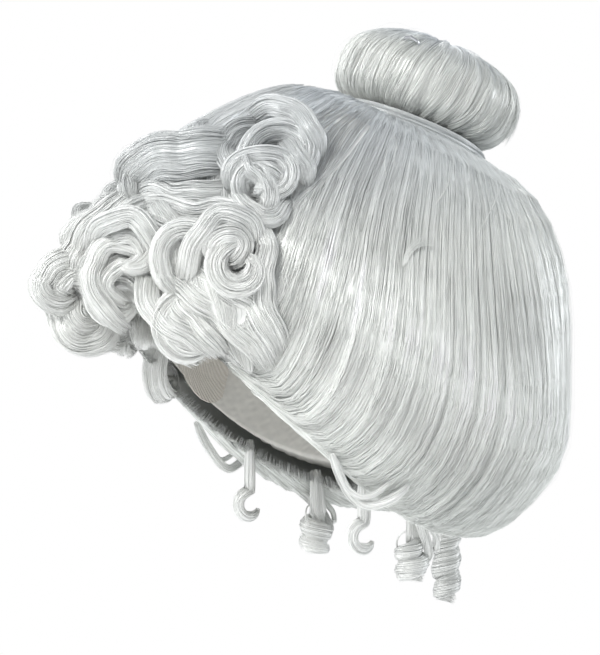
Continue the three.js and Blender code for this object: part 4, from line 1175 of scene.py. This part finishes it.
def knot_core():
    """The crepe pad that fills the topknot."""
    a = np.linspace(0, 2 * np.pi, 73)[:-1, None]
    q = np.linspace(-np.pi / 2 + 0.02, np.pi / 2 - 0.02, 30)[None, :]
    swell = 1 + 0.012 * KNOT_CLUMP(a, q)

    def skin(scale):
        radius = CORE_RADIUS * scale * np.cos(q) ** 0.6 * swell
        height = CORE_HALF * scale * np.sign(q) * np.abs(np.sin(q)) ** 0.7 * swell
        return knot_ring(radius, a, height)

    tint = CREPE_TINT * (1 + 0.06 * KNOT_CLUMP(4 * a, 6 * q))[..., None]
    parts = [grid_solid(skin(1), skin(0.3), tint, closed=True)]
    piece("crepe_core", parts, CREPE, "wig", ["topknot_core"])


# ---------- Cap and small parts ----------


def cap_materials():
    """The finishes of the CAD nodes that stay in sight."""
    for part in frame["record"]["subparts"]:
        finish = FINISHES.get(part["material_slot"])
        if finish:
            materials = frame["nodes"][part["node"]].data.materials
            materials.clear()
            materials.append(finish)


# ---------- Pads and the hair under them ----------

PAD_SHARES = (0.2, 0.84)
PAD_INNER = 5.1  # how far the pads' inner face lies above the head
PAD_GAP = 0.012  # the gap at each end of a pad, in radians
HAIR_LAYER = 13.4
CRIMP = Waves(51, 8, (20, 70), (20, 60))


def crepe_pads():
    """Netted rolls of crepe wool under the swept hair, one to each section."""
    for name, (low, high) in SECTIONS.items():
        a = np.linspace(math.radians(low) + PAD_GAP, math.radians(high) - PAD_GAP, 60)
        a, b = np.meshgrid(a, np.linspace(*PAD_SHARES, 50), indexing="ij")
        over = swept(a, b)
        normal = pouf_normal(a, b)
        top = over - normal * HAIR_LAYER
        base = head_under(over, PAD_INNER)
        u = (a - a.min()) / np.ptp(a)
        v = (b - b.min()) / np.ptp(b)
        crown = (1 - (2 * u - 1) ** 8) ** 0.5 * (1 - (2 * v - 1) ** 6) ** 0.5
        puffed = base + (top - base) * (0.12 + 0.84 * crown)[..., None]
        thick = np.linalg.norm(puffed - base, axis=-1)
        rough = np.clip(thick / 6, 0, 1) * 0.7 * CRIMP(a * 3, b * 3)
        puffed = puffed + normal * np.minimum(rough, 0)[..., None]
        tint = CREPE_TINT * (1 + 0.05 * CRIMP(a * 2, b * 4))[..., None]
        parts = [grid_solid(puffed, base, tint)]
        piece(f"crepe_pad_{name}", parts, CREPE, "wig", [f"pad_{name}"])


def weft_hair():
    """The hair sewn along the wefts, which lies on the cap under the pads."""
    rng = np.random.default_rng(9)
    n, t = 1500, np.linspace(0, 1, 12)
    phi = np.sort(rng.uniform(0, 2 * np.pi, n))[:, None] + 0.01 * np.sin(9 * t + rng.uniform(0, 6, (n, 1)))
    low = around(phi, CAP_EDGE) + 2
    height = np.minimum(low + (-8 - low) * t**0.8, -1.0)
    points = head_point(phi, height, 3.4)
    tone = 1 + rng.normal(0, 0.04, (n, 1)) + 0 * phi
    strands = fibres(points, unit(points - HEAD_CENTRE), np.full(phi.shape, 0.2), WHITE * tone[..., None])
    a, t = np.meshgrid(np.linspace(0, 2 * np.pi, 121)[:-1], np.linspace(0, 1, 16), indexing="ij")
    low = around(a, CAP_EDGE) + 3
    height = low + (-6 - low) * t
    # painted shade: the shell under the weft hair is drawn darker
    shell = grid_solid(head_point(a, height, 3.68), head_point(a, height, 3.35), WHITE * 0.92, closed=True)
    piece("weft_hair", [strands, shell], HAIR, "wig")


camera()
studio_light()
floor()
for section, (low, high) in SECTIONS.items():
    pouf_section(section, low, high)
front_waves()
front_curls()
filler_curls()
crepe_pads()
weft_hair()
ringlets()
knot_hair()
knot_ends()
knot_band()
knot_core()
gathered_hair()
loose_wisps()
ear_wisps()
cap_materials()
